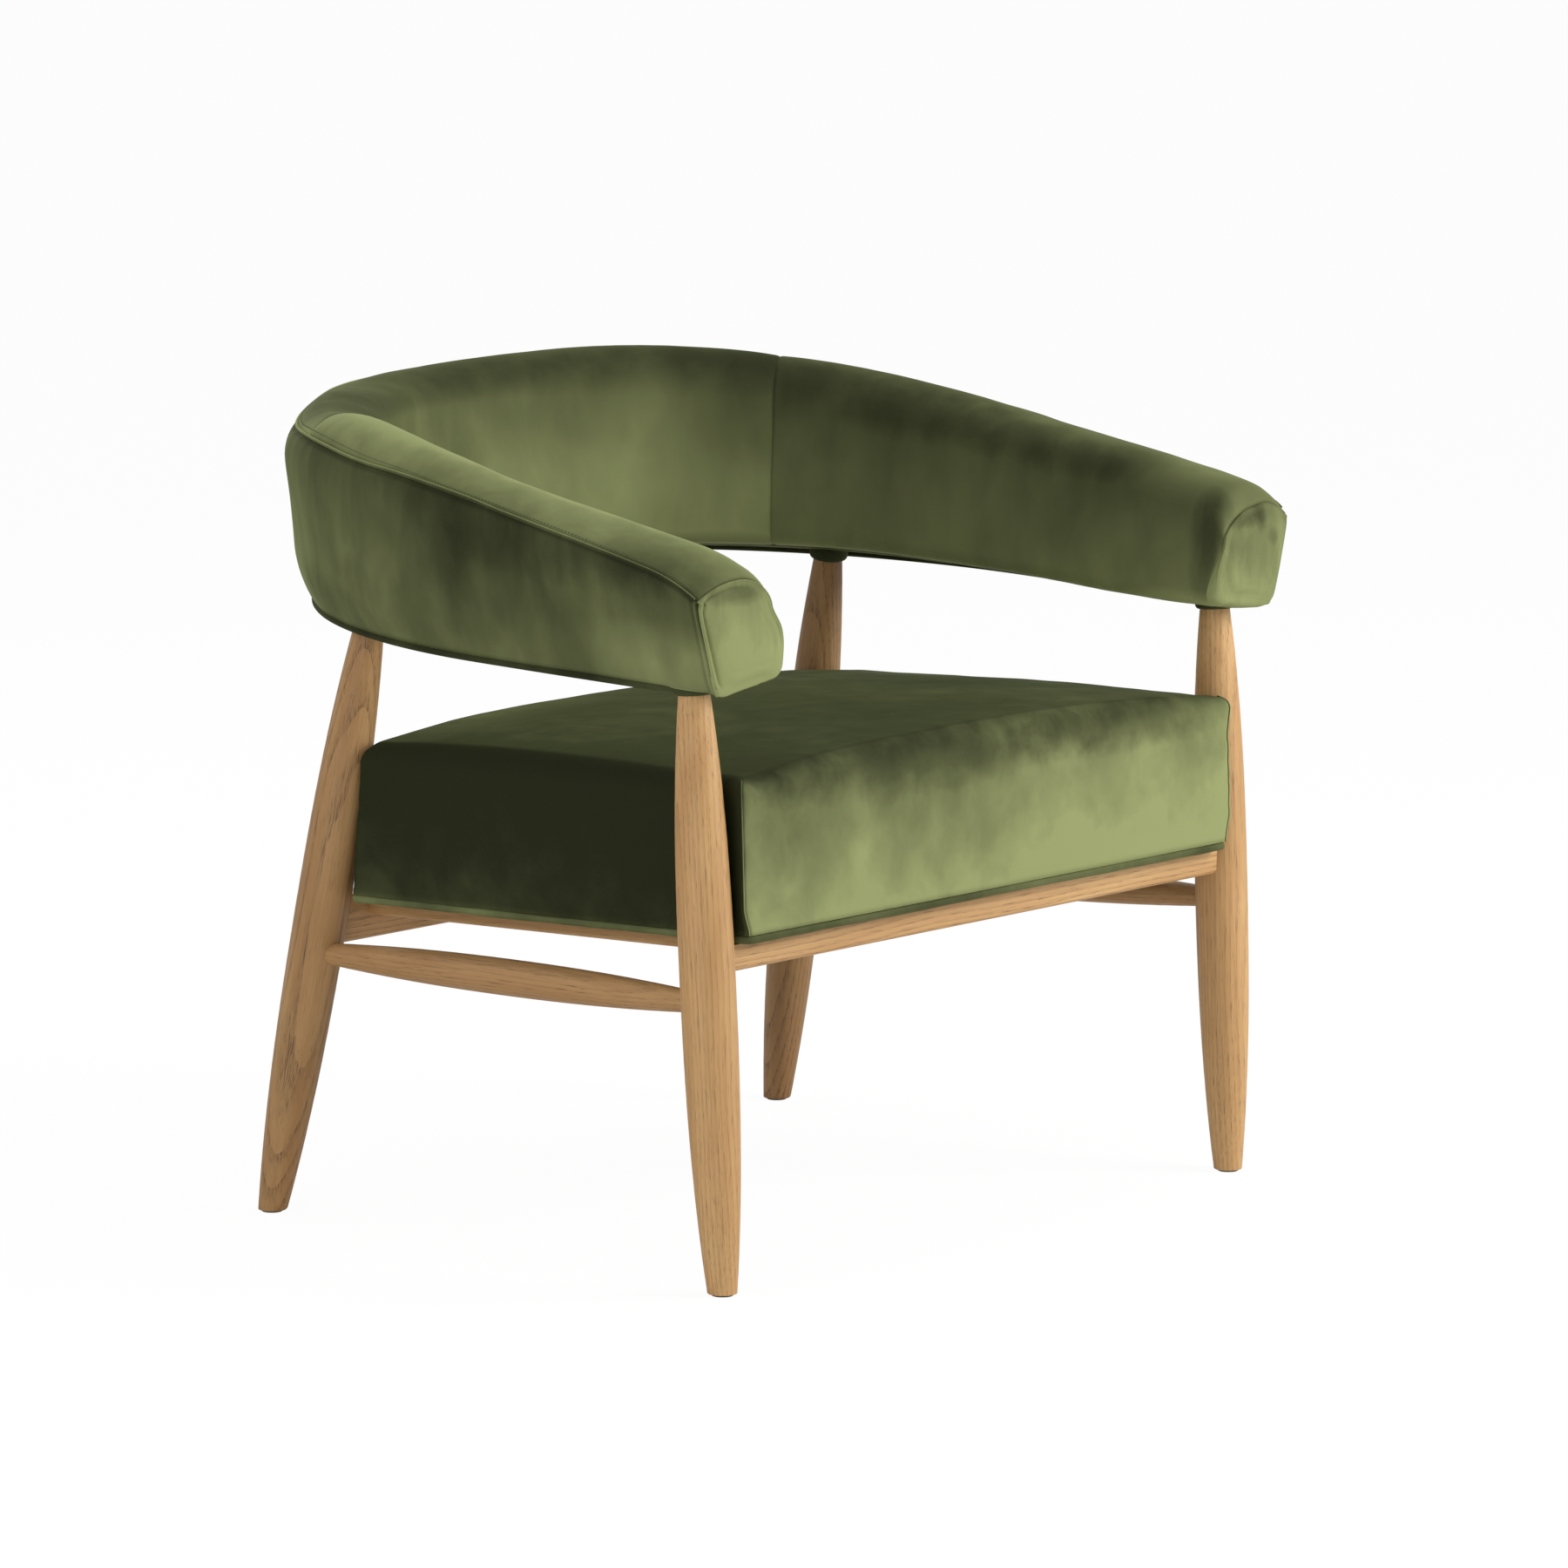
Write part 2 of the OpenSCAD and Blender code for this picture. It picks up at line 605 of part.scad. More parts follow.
module leg_front_right() {
    leg(FRONT_FOOT, FRONT_TOP, FRONT_RAIL_LOW, FRONT_RAIL_HIGH, stretcher_front_z, STRETCHER_REAR);
}
module leg_front_left() {
    mirror([1, 0, 0]) leg_front_right();
}
module leg_rear_right() {
    leg(REAR_FOOT, REAR_TOP, rear_rail_z, rear_rail_z + rear_rail_h, stretcher_rear_z, STRETCHER_FRONT);
}
module leg_rear_left() {
    mirror([1, 0, 0]) leg_rear_right();
}

module foot_glides() {
    color(RUBBER) for (side = [-1, 1], foot = [FRONT_FOOT, REAR_FOOT])
        translate([side * foot.x, foot.y, 0]) {
            cylinder(d1 = glide_d - glide_t, d2 = glide_d, h = glide_t - gap / 3, $fn = 48);
            cylinder(d = nail_d, h = glide_t + nail_l, $fn = 24);
        }
}

// Padded collars round the tops of the legs, which run up through the padding and end just under the base rail
collar_inner = leg_top_d / 2 + gap;
collar_end = 4;
COLLAR_ROUND = [0 : 30 : 90];
collar_ease = 0.3;
module leg_collars() {
    color(VELVET_DARK) for (side = [-1, 1], ends = LEG_ENDS) on_side(side) along(ends[0], ends[1]) leg_collar(
        norm(ends[1] - ends[0]) - frame_lift - collar_h, norm(ends[1] - ends[0]) - collar_end);
}
module leg_collar(low, high) {
    r = (collar_d / 2 - collar_inner) / 2;
    rotate_extrude($fn = 64) polygon(concat(
        [[collar_inner, low + r], [collar_inner, high], [collar_d / 2, high]],
        [for (g = COLLAR_ROUND) [collar_inner + r + r * cos(g), low + r - r * sin(g)]],
        [[collar_inner + r * collar_ease, low + r * collar_ease]]));
}

// Long wood screws from the base rail into the legs
head_h = 3;
head_taper = 0.8;
module screw(length) {
    cylinder(d = screw_d, h = length, $fn = 32);
    translate([0, 0, length]) cylinder(d1 = screw_head_d, d2 = screw_head_d * head_taper, h = head_h, $fn = 32);
}
module leg_screws() {
    color(STEEL) for (side = [-1, 1], ends = LEG_ENDS) on_side(side) along(ends[0], ends[1])
        translate([0, 0, norm(ends[1] - ends[0]) + base_t - head_h - leg_screw_l]) screw(leg_screw_l);
}

// The plane on which the seat rests
SEAT_FRONT_Y = axis_at(FRONT_FOOT, FRONT_TOP, seat_base_z).y - leg_mid_d / 2 - seat_proud;
function seat_plane_z(y) = seat_base_z - (y - SEAT_FRONT_Y) * tan(seat_tilt);
module seat_place() {
    translate([0, SEAT_FRONT_Y, seat_base_z]) rotate([-seat_tilt, 0, 0]) children();
}
module above_seat_plane() {
    seat_place() translate([-far, -far, -fit]) cube([2 * far, 2 * far, 2 * far]);
}

// Rails between the legs, coped round them and tenoned into them
FRONT_RAIL_LOW = seat_base_z - front_rail_h - (rail_t + leg_mid_d) / 2 * tan(seat_tilt);
FRONT_RAIL_HIGH = FRONT_RAIL_LOW + front_rail_h;
front_rail_y = axis_at(FRONT_FOOT, FRONT_TOP, (FRONT_RAIL_LOW + FRONT_RAIL_HIGH) / 2).y;
rear_rail_y = axis_at(REAR_FOOT, REAR_TOP, rear_rail_z + rear_rail_h / 2).y;
rail_edge_r = 5;
// Rail section with its lower edges rounded
module rail_bar(length, t, h, r) {
    rotate([90, 0, 90]) translate([0, 0, -length / 2]) linear_extrude(length) {
        translate([-t / 2, r]) square([t, h - r]);
        translate([-t / 2 + r, 0]) square([t - 2 * r, h]);
        for (s = [-1, 1]) translate([s * (t / 2 - r), r]) circle(r, $fn = 32);
    }
}
module rail(foot, top, low, high) {
    mid = axis_at(foot, top, (low + high) / 2);
    end = mid.x - leg_mid_d / 2 + tenon_l;
    difference() {
        translate([0, mid.y, low]) rail_bar(2 * mid.x, rail_t, high - low, rail_edge_r);
        for (side = [-1, 1]) on_side(side) leg_turning(foot, top, gap / 2);
    }
    translate([-end, mid.y - tenon_t / 2, low + tenon_edge]) cube([2 * end, tenon_t, high - low - 2 * tenon_edge]);
}
module front_rail() {
    color(ASH) difference() {
        rail(FRONT_FOOT, FRONT_TOP, FRONT_RAIL_LOW, FRONT_RAIL_HIGH);
        above_seat_plane();
        rail_dowel_holes();
        block_screw_holes();
    }
}
module rear_rail() {
    color(ASH) difference() {
        rail(REAR_FOOT, REAR_TOP, rear_rail_z, rear_rail_z + rear_rail_h);
        rail_dowel_holes();
        block_screw_holes();
    }
}

// Side rails under the seat, from the front rail to the rear rail
SIDE_FRONT_Y = front_rail_y + rail_t / 2;
SIDE_REAR_Y = rear_rail_y - rail_t / 2;
side_rail_l = (SIDE_REAR_Y - SIDE_FRONT_Y - 2 * fit) / cos(seat_tilt);
module in_side_rail_frame(side) {
    translate([side * side_rail_x, SIDE_FRONT_Y, seat_plane_z(SIDE_FRONT_Y)])
        rotate([-seat_tilt, 0, 0]) children();
}
SEAT_SCREW_SHARES = [0.2, 0.72];
module side_rail(side) {
    color(ASH) difference() {
        intersection() {
            in_side_rail_frame(side) translate([0, side_rail_l / 2, -side_rail_h - fit]) rotate([0, 0, 90])
                rail_bar(side_rail_l + 2 * rail_t, side_rail_w, side_rail_h, rail_edge_r);
            translate([-far, SIDE_FRONT_Y + fit, 0]) cube([2 * far, SIDE_REAR_Y - SIDE_FRONT_Y - 2 * fit, far]);
        }
        rail_dowel_holes();
        block_screw_holes();
        for (f = SEAT_SCREW_SHARES) in_side_rail_frame(side) translate([0, side_rail_l * f, -side_rail_h - past]) {
            cylinder(d = screw_d + 2 * fit, h = side_rail_h + 2 * past, $fn = 32);
            cylinder(d = screw_head_d + past, h = screw_sink + past, $fn = 32);
        }
    }
}
screw_sink = 8;
module side_rail_left() {
    side_rail(-1);
}
module side_rail_right() {
    side_rail(1);
}

// Screws up through the side rails into the platform
module seat_screws() {
    color(STEEL) for (side = [-1, 1], f = SEAT_SCREW_SHARES) in_side_rail_frame(side)
        translate([0, side_rail_l * f, screw_sink - side_rail_h - fit]) {
            cylinder(d = screw_d, h = seat_screw_l - head_h, $fn = 32);
            translate([0, 0, -head_h]) cylinder(d1 = screw_head_d * head_taper, d2 = screw_head_d, h = head_h, $fn = 32);
        }
}

// Dowels that join the side rails to the front and rear rails
dowel_spread = side_rail_w / 4;
DOWEL_Z = side_rail_h / 2;
module rail_dowel_rods(d, l) {
    for (side = [-1, 1], s = [-1, 1], y = [SIDE_FRONT_Y, SIDE_REAR_Y])
        translate([side * side_rail_x + s * dowel_spread, y - l / 2, seat_plane_z(y) - DOWEL_Z])
            rotate([-90, 0, 0]) cylinder(d = d, h = l, $fn = 32);
}
module rail_dowel_holes() {
    rail_dowel_rods(dowel_d + 2 * fit, dowel_l + 2 * fit);
}
module rail_dowels() {
    color(PLYWOOD) rail_dowel_rods(dowel_d, dowel_l);
}

// Corner blocks between the side rails and the front and rear rails
block_flat = 8;
module corner_block(side, y, way) {
    x = side_rail_x - side_rail_w / 2 - fit;
    on_side(side) translate([x, y + way * fit, seat_plane_z(y + way * block_l) - block_h - side_gap])
        linear_extrude(block_h) mirror([0, way > 0 ? 0 : 1])
            polygon([[0, 0], [-block_l, 0], [-block_l, block_flat], [-block_flat, block_l], [0, block_l]]);
}
side_gap = 2;
module corner_blocks() {
    color(ASH) difference() {
        for (side = [-1, 1]) {
            corner_block(side, SIDE_FRONT_Y, 1);
            corner_block(side, SIDE_REAR_Y, -1);
        }
        block_screw_holes();
    }
}
module block_screw_rods(more) {
    for (side = [-1, 1], e = [[SIDE_FRONT_Y, 1], [SIDE_REAR_Y, -1]], turn = [0, 1])
        on_side(side) block_screw_line(e[0], e[1], turn) screw_rod(more);
}
// One screw runs into the side rail and one into the cross rail; both are smaller than the seat's screws
screw_inset = 16;
block_screw_size = 0.8;
module block_screw_line(y, way, turn) {
    z = seat_plane_z(y + way * block_l) - side_gap - block_h / 2;
    x = side_rail_x - side_rail_w / 2 - fit;
    if (turn == 0) translate([x - screw_inset, y + way * (block_l - screw_inset), z]) rotate([0, 90, 0]) children();
    if (turn == 1) translate([x - block_l + screw_inset, y + way * screw_inset, z]) rotate([way * 90, 0, 0]) children();
}
module screw_rod(more) {
    translate([0, 0, -head_h]) cylinder(d = screw_head_d * block_screw_size + 4 * more, h = head_h, $fn = 32);
    cylinder(d = screw_d * block_screw_size + 2 * more, h = block_screw_l + more, $fn = 32);
}
module block_screw_holes() {
    block_screw_rods(fit);
}
module corner_block_screws() {
    color(STEEL) block_screw_rods(0);
}

// Turned stretchers between the front and rear legs
STRETCHER_FRONT = axis_at(FRONT_FOOT, FRONT_TOP, stretcher_front_z);
STRETCHER_REAR = axis_at(REAR_FOOT, REAR_TOP, stretcher_rear_z);
stretcher_power = 2.2;
STRETCHER_SPANS = 20;
stretcher_bite = 17;
tenon_short = leg_mid_d / 2 - stretcher_bite;
shoulder = 6;
module stretcher() {
    full = norm(STRETCHER_REAR - STRETCHER_FRONT);
    start = leg_mid_d / 2;
    body = full - 2 * start;
    color(ASH) union() {
        along(STRETCHER_FRONT, STRETCHER_REAR) translate([0, 0, tenon_short])
            cylinder(d = stretcher_tenon_d, h = full - 2 * tenon_short, $fn = 64);
        difference() {
            along(STRETCHER_FRONT, STRETCHER_REAR) rotate_extrude($fn = 64) polygon(concat(
                [[0, start - shoulder], [stretcher_end_d / 2, start - shoulder]],
                [for (i = [0 : STRETCHER_SPANS]) let (t = i / STRETCHER_SPANS)
                    [mix(stretcher_mid_d, stretcher_end_d, pow(abs(2 * t - 1), stretcher_power)) / 2, start + body * t]],
                [[stretcher_end_d / 2, full - start + shoulder], [0, full - start + shoulder]]));
            leg_turning(FRONT_FOOT, FRONT_TOP, gap / 2);
            leg_turning(REAR_FOOT, REAR_TOP, gap / 2);
        }
    }
}
module stretcher_hole(foot, top, z, away) {
    near = axis_at(foot, top, z);
    along(near, away) translate([0, 0, tenon_short - fit])
        cylinder(d = stretcher_tenon_d + 2 * fit, h = leg_mid_d, $fn = 64);
}
module stretcher_right() {
    stretcher();
}
module stretcher_left() {
    mirror([1, 0, 0]) stretcher();
}

// The seat, drawn flat from its front edge and its underside, and then sloped
seat_side_gap = 0.8;
seat_half = axis_at(FRONT_FOOT, FRONT_TOP, seat_base_z).x - leg_mid_d / 2 - seat_side_gap;
seat_high_z = seat_plane_z(axis_at(REAR_FOOT, REAR_TOP, seat_base_z).y) + seat_h;
SEAT_REAR_Y = axis_at(REAR_FOOT, REAR_TOP, seat_high_z).y - leg_mid_d / 2 - seat_side_gap;
seat_d = (SEAT_REAR_Y - SEAT_FRONT_Y) / cos(seat_tilt);
CORNER_STEPS = [0, 45, 90];
X_SPANS = 8;
Y_SPANS = 6;
tight_r = 2;
// Points round a rectangle with rounded corners, drawn in by a distance, with its faces full by another
function seat_ring(inward, full, z_of) =
    let (
        hx = seat_half - inward,
        hy = seat_d / 2 - inward,
        r = max(seat_corner_r - inward, tight_r),
        fx = [for (i = [1 : X_SPANS - 1]) -1 + 2 * i / X_SPANS],
        fy = [for (i = [1 : Y_SPANS - 1]) -1 + 2 * i / Y_SPANS],
        right = [for (f = fy) [hx + full * (1 - f * f), f * (hy - r)]],
        back = [for (f = fx) [-f * (hx - r), hy + full * (1 - f * f)]],
        corner = [for (g = CORNER_STEPS) [hx - r + r * cos(g), hy - r + r * sin(g)]],
        corner2 = [for (g = CORNER_STEPS) [-hx + r - r * sin(g), hy - r + r * cos(g)]]
    )
    [for (q = concat(right, corner, back, corner2, [for (q = right) -q], [for (q = corner) -q],
        [for (q = back) -q], [for (q = corner2) -q])) [q.x, q.y, z_of]];
// Height of the crowned top over a place in the seat, above the height of its front corners
crown_power = 2.4;
function seat_crown(q) =
    let (gx = 1 - pow(clamp(abs(q.x) / seat_half), crown_power), gy = 1 - pow(clamp(abs(q.y) / seat_d * 2), crown_power))
    seat_back_more * (q.y / seat_d + 0.5) + seat_crown_x * gx + seat_crown_y * gy;
// Rings of the cushion's skin, drawn in by a distance d, from the middle of the top over the roll to its hem
TOP_RINGS = [0.95, 0.72, 0.45, 0.22, 0.07];
ROLL_RINGS = [65, 40, 15];
SIDE_RINGS = [0.9, 0.45, 0];
function seat_skin(d, low) = concat(
    [for (f = TOP_RINGS) [for (q = seat_ring(seat_edge_r + (seat_d / 2 - seat_edge_r) * f, 0, 0))
        [q.x, q.y, seat_h - d + seat_crown(q)]]],
    [for (g = ROLL_RINGS) [for (q = seat_ring(d * cos(g) + seat_edge_r * (1 - cos(g)), seat_full * cos(g), 0))
        [q.x, q.y, seat_h - seat_edge_r + (seat_edge_r - d) * sin(g) + seat_crown(q) * (g / 90)]]],
    [for (f = SIDE_RINGS) seat_ring(d, seat_full * side_swell(f), mix(low, seat_h - seat_edge_r, f))]
);
// The faces are fullest a little above the middle and draw in at the hem
hem_angle = 20;
swell_rise = 1.6;
function side_swell(f) = sin(mix(hem_angle, 90, min(1, f * swell_rise)));
// The back of the seat leans with the rear legs
function raked(q) = [q.x, q.y + seat_rake * clamp(q.y / seat_d * 2) * clamp(1 - q.z / (seat_h - seat_edge_r)), q.z];
module seat_solid(d, low) {
    translate([0, seat_d / 2, 0]) loft([for (ring = seat_skin(d, low)) [for (q = ring) raked(q)]]);
}
seat_hem = seat_welt_d + 2 * gap;
module seat_foam() {
    color(FOAM) seat_place() difference() {
        seat_solid(cover_t + batting_gap, seat_hem + gap);
        translate([-seat_half + platform_in - gap, platform_in - gap, 0])
            cube([2 * (seat_half - platform_in + gap), seat_d - 2 * (platform_in - gap), platform_top + webbing_h]);
    }
}
module seat_cover() {
    color(VELVET) seat_place() difference() {
        seat_solid(0, seat_hem);
        seat_solid(cover_t, seat_hem - past);
    }
}

// Plywood platform with its webbing, and the cloth under it
platform_in = 16;
dust_t = 0.8;
dust_in = 9;
platform_low = dust_t + gap + fit;
platform_top = platform_low + platform_t;
webbing_h = 2 * (strap_t + gap) + gap;
module seat_platform() {
    x = seat_half - platform_in;
    y = seat_d - 2 * platform_in;
    color(PLYWOOD) seat_place() difference() {
        translate([-x, platform_in, platform_low]) linear_extrude(platform_t) difference() {
            square([2 * x, y]);
            translate([platform_border, platform_border]) square([2 * (x - platform_border), y - 2 * platform_border]);
        }
        for (side = [-1, 1], f = SEAT_SCREW_SHARES)
            translate([side * side_rail_x, SIDE_FRONT_Y - SEAT_FRONT_Y + side_rail_l * f, -past])
                cylinder(d = screw_d + 2 * fit, h = seat_screw_l, $fn = 32);
    }
}
module seat_webbing() {
    x = seat_half - platform_in - platform_border;
    y = seat_d - 2 * (platform_in + platform_border);
    hold = platform_border / 2;
    color(LINEN) seat_place() {
        for (i = [0 : straps_along - 1])
            translate([mix(-x, x, (i + 0.5) / straps_along) - strap_w / 2, platform_in + hold, platform_top + gap])
                cube([strap_w, y + 2 * hold, strap_t]);
        for (i = [0 : straps_across - 1])
            translate([-x - hold, platform_in + platform_border + y * (i + 0.5) / straps_across - strap_w / 2,
                platform_top + 2 * gap + strap_t])
                cube([2 * (x + hold), strap_w, strap_t]);
    }
}
module seat_dust_cover() {
    color(BLACK) seat_place() difference() {
        translate([-seat_half + dust_in, dust_in, gap / 2])
            cube([2 * (seat_half - dust_in), seat_d - 2 * dust_in, dust_t]);
        for (side = [-1, 1], f = SEAT_SCREW_SHARES)
            translate([side * side_rail_x, SIDE_FRONT_Y - SEAT_FRONT_Y + side_rail_l * f, -past])
                cylinder(d = screw_d + 2 * fit, h = seat_screw_l, $fn = 32);
    }
}
module seat_welt() {
    r = seat_welt_d / 2;
    path = [for (q = seat_ring(r, 0, r + gap)) raked(q)];
    n = len(path);
    color(VELVET_DARK) seat_place() translate([0, seat_d / 2, 0]) loft_loop([for (j = [0 : n - 1]) let (
        t = unit(path[(j + 1) % n] - path[(j + n - 1) % n]), out = [t.y, -t.x, 0])
        [for (i = [0 : TUBE_SIDES - 1]) let (g = 360 * i / TUBE_SIDES)
            path[j] + r * (cos(g) * out + [0, 0, sin(g)])]]);
}

leg_front_left();
leg_front_right();
leg_rear_left();
leg_rear_right();
foot_glides();
front_rail();
rear_rail();
side_rail_left();
side_rail_right();
rail_dowels();
corner_blocks();
corner_block_screws();
stretcher_left();
stretcher_right();
seat_platform();
seat_webbing();
seat_foam();
seat_cover();
seat_welt();
seat_dust_cover();
seat_screws();
band_base();
band_posts();
band_top_rail();
band_inner_liner();
band_outer_liner();
band_foam();
band_cover_outer();
band_cover_back();
band_cover_left();
band_cover_right();
band_cover_under();
arm_cap_left();
arm_cap_right();
band_piping();
band_seam_welt();
leg_collars();
leg_screws();
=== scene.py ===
"""Club chair in velvet and ash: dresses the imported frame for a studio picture, in metres, in the part's own frame."""

import logging
import math
from collections.abc import Iterator
from dataclasses import dataclass, field
from enum import Enum

import bmesh
import bpy
import numpy as np
from mathutils import Matrix, Vector, noise


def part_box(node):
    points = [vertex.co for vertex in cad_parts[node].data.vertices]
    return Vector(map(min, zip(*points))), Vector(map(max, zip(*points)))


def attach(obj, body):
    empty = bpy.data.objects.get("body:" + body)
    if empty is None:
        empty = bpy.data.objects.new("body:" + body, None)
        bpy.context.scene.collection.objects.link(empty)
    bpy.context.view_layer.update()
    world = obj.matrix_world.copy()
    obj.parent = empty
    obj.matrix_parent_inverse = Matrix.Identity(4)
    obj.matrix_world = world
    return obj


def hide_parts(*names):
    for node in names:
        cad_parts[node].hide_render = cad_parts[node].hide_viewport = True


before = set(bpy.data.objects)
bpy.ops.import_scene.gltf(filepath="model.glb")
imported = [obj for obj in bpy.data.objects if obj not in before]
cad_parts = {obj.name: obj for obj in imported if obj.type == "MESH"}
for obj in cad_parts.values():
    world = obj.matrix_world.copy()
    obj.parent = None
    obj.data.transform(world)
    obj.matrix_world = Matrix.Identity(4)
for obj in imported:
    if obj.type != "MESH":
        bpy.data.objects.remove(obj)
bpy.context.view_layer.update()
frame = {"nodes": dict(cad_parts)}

MM = 0.001
log = logging.getLogger("club_chair")

Material = bpy.types.Material
Piece = bpy.types.Object
Socket = bpy.types.NodeSocket
Triple = tuple[float, float, float]
Colour = tuple[float, float, float, float]
Faces = list[tuple[int, ...]]
Marked = tuple[tuple[str, float], ...]


class Side(Enum):
    """The two sides of the chair, as seen from its front."""

    LEFT = -1
    RIGHT = 1


class Grain(Enum):
    """How strongly the growth rings of a wooden piece show."""

    QUIET = 0.35
    PLAIN = 0.6
    BOLD = 0.85


def mix(a: np.ndarray | float, b: np.ndarray | float, t: np.ndarray | float) -> np.ndarray | float:
    """The value between a and b at the share t."""
    return a + (b - a) * t


def bell(x: np.ndarray, width: float) -> np.ndarray:
    """A smooth hump of height 1 round x = 0."""
    return np.exp(-((x / width) ** 2))


def fade(x: np.ndarray, low: float, high: float) -> np.ndarray:
    """Rises smoothly from 0 at low to 1 at high."""
    t = np.clip((x - low) / (high - low), 0.0, 1.0)
    return t * t * (3.0 - 2.0 * t)


def soft_part(x: np.ndarray, softness: float) -> np.ndarray:
    """x where it is positive and 0 where it is negative, with a soft turn between them."""
    return 0.5 * (x + np.sqrt(x**2 + softness))


def curve_through(x: np.ndarray, knots: tuple[tuple[float, float], ...]) -> np.ndarray:
    """A smooth curve through given values.

    Args:
        x: places, in metres.
        knots: pairs of a place and its value, both in millimetres.

    Returns:
        The value at each place, in metres.
    """
    places, values = np.array(knots).T * MM
    slopes = np.gradient(values, places)
    k = np.clip(np.searchsorted(places, x) - 1, 0, len(places) - 2)
    width = places[k + 1] - places[k]
    t = np.clip((x - places[k]) / width, 0.0, 1.0)
    bend = slopes[k] * width * t * (1.0 - t) ** 2 - slopes[k + 1] * width * t * t * (1.0 - t)
    return mix(values[k], values[k + 1], t * t * (3.0 - 2.0 * t)) + bend


def cloudy(points: np.ndarray, scale: float, seed: float) -> np.ndarray:
    """Smooth noise at every point.

    Args:
        points: positions in metres, in an array whose last axis has length 3.
        scale: lumps per metre.
        seed: offset that gives each use its own pattern.

    Returns:
        Values from about -1 to 1, in the shape of points without its last axis.
    """
    flat = points.reshape(-1, 3) * scale + seed
    values = [noise.noise(Vector(q)) for q in flat]
    return np.array(values).reshape(points.shape[:-1])


def lumps(points: np.ndarray, *layers: Triple) -> np.ndarray:
    """Uneven stuffing, as the sum of layers of noise: each has its height, its lumps per metre and its seed."""
    return sum(height * cloudy(points, scale, seed) for height, scale, seed in layers)


def circle(sides: int) -> np.ndarray:
    """Angles of evenly spaced points round a circle."""
    return np.arange(sides) * 2.0 * math.pi / sides


def grid_faces(rows: int, cols: int, closed: bool = False) -> Faces:
    """Quads of a grid of points.

    Args:
        rows: number of rows of points.
        cols: number of points in a row.
        closed: whether the last point of each row joins its first.

    Returns:
        One tuple of four point numbers for each quad.
    """
    span = cols if closed else cols - 1
    return [
        (i * cols + j, i * cols + (j + 1) % cols, (i + 1) * cols + (j + 1) % cols, (i + 1) * cols + j)
        for i in range(rows - 1)
        for j in range(span)
    ]


def joined_ends(rows: int, sides: int) -> Faces:
    """Quads that join the last ring of points to the first."""
    last = (rows - 1) * sides
    return [(last + j, last + (j + 1) % sides, (j + 1) % sides, j) for j in range(sides)]


def closed_ends(rows: int, sides: int, first: int = 0) -> Faces:
    """Faces that close the first and the last ring of points, where the first point has that number."""
    last = first + (rows - 1) * sides
    return [tuple(range(first, first + sides)), tuple(range(last, last + sides))]


def make_mesh(name: str, points: np.ndarray, faces: Faces, material: Material) -> Piece:
    """A smooth mesh object with its doubled points merged and its faces turned outward.

    Args:
        name: name of the piece.
        points: positions, in an array whose last axis has length 3.
        faces: tuples of point numbers.
        material: finish of the piece.

    Returns:
        The new object, linked to the scene.
    """
    data = bpy.data.meshes.new(name)
    data.from_pydata(points.reshape(-1, 3).tolist(), [], faces)
    merge_distance, least_edge = 0.02 * MM, 0.005 * MM
    built = bmesh.new()
    built.from_mesh(data)
    bmesh.ops.remove_doubles(built, verts=built.verts, dist=merge_distance)
    bmesh.ops.dissolve_degenerate(built, edges=built.edges, dist=least_edge)
    bmesh.ops.recalc_face_normals(built, faces=built.faces)
    built.to_mesh(data)
    built.free()
    data.shade_smooth()
    data.materials.append(material)
    piece = bpy.data.objects.new(name, data)
    bpy.context.scene.collection.objects.link(piece)
    return piece


def tube(
    name: str, path: np.ndarray, radius: float | np.ndarray, material: Material, sides: int, closed: bool = False
) -> Piece:
    """A round tube along a path, with closed ends unless the path returns to its start.

    Args:
        name: name of the piece.
        path: points of the centre line.
        radius: radius of the tube, or one for each point.
        material: finish of the piece.
        sides: points round the tube.
        closed: whether the path returns to its first point.

    Returns:
        The tube as an object.
    """
    ahead = np.roll(path, -1, axis=0) - np.roll(path, 1, axis=0)
    if not closed:
        ahead[0] = path[1] - path[0]
        ahead[-1] = path[-1] - path[-2]
    ahead /= np.linalg.norm(ahead, axis=1, keepdims=True)
    up = np.array([0.0, 0.0, 1.0])
    if abs(ahead @ up).max() > 0.9:
        up = np.array([0.0, 1.0, 0.0])
    across = np.cross(ahead, up)
    across /= np.linalg.norm(across, axis=1, keepdims=True)
    over = np.cross(across, ahead)
    turn = circle(sides)
    around = np.cos(turn)[None, :, None] * across[:, None] + np.sin(turn)[None, :, None] * over[:, None]
    rings = path[:, None] + np.broadcast_to(radius, len(path))[:, None, None] * around
    rows = len(path)
    faces = grid_faces(rows, sides, closed=True) + (joined_ends if closed else closed_ends)(rows, sides)
    return make_mesh(name, rings, faces, material)


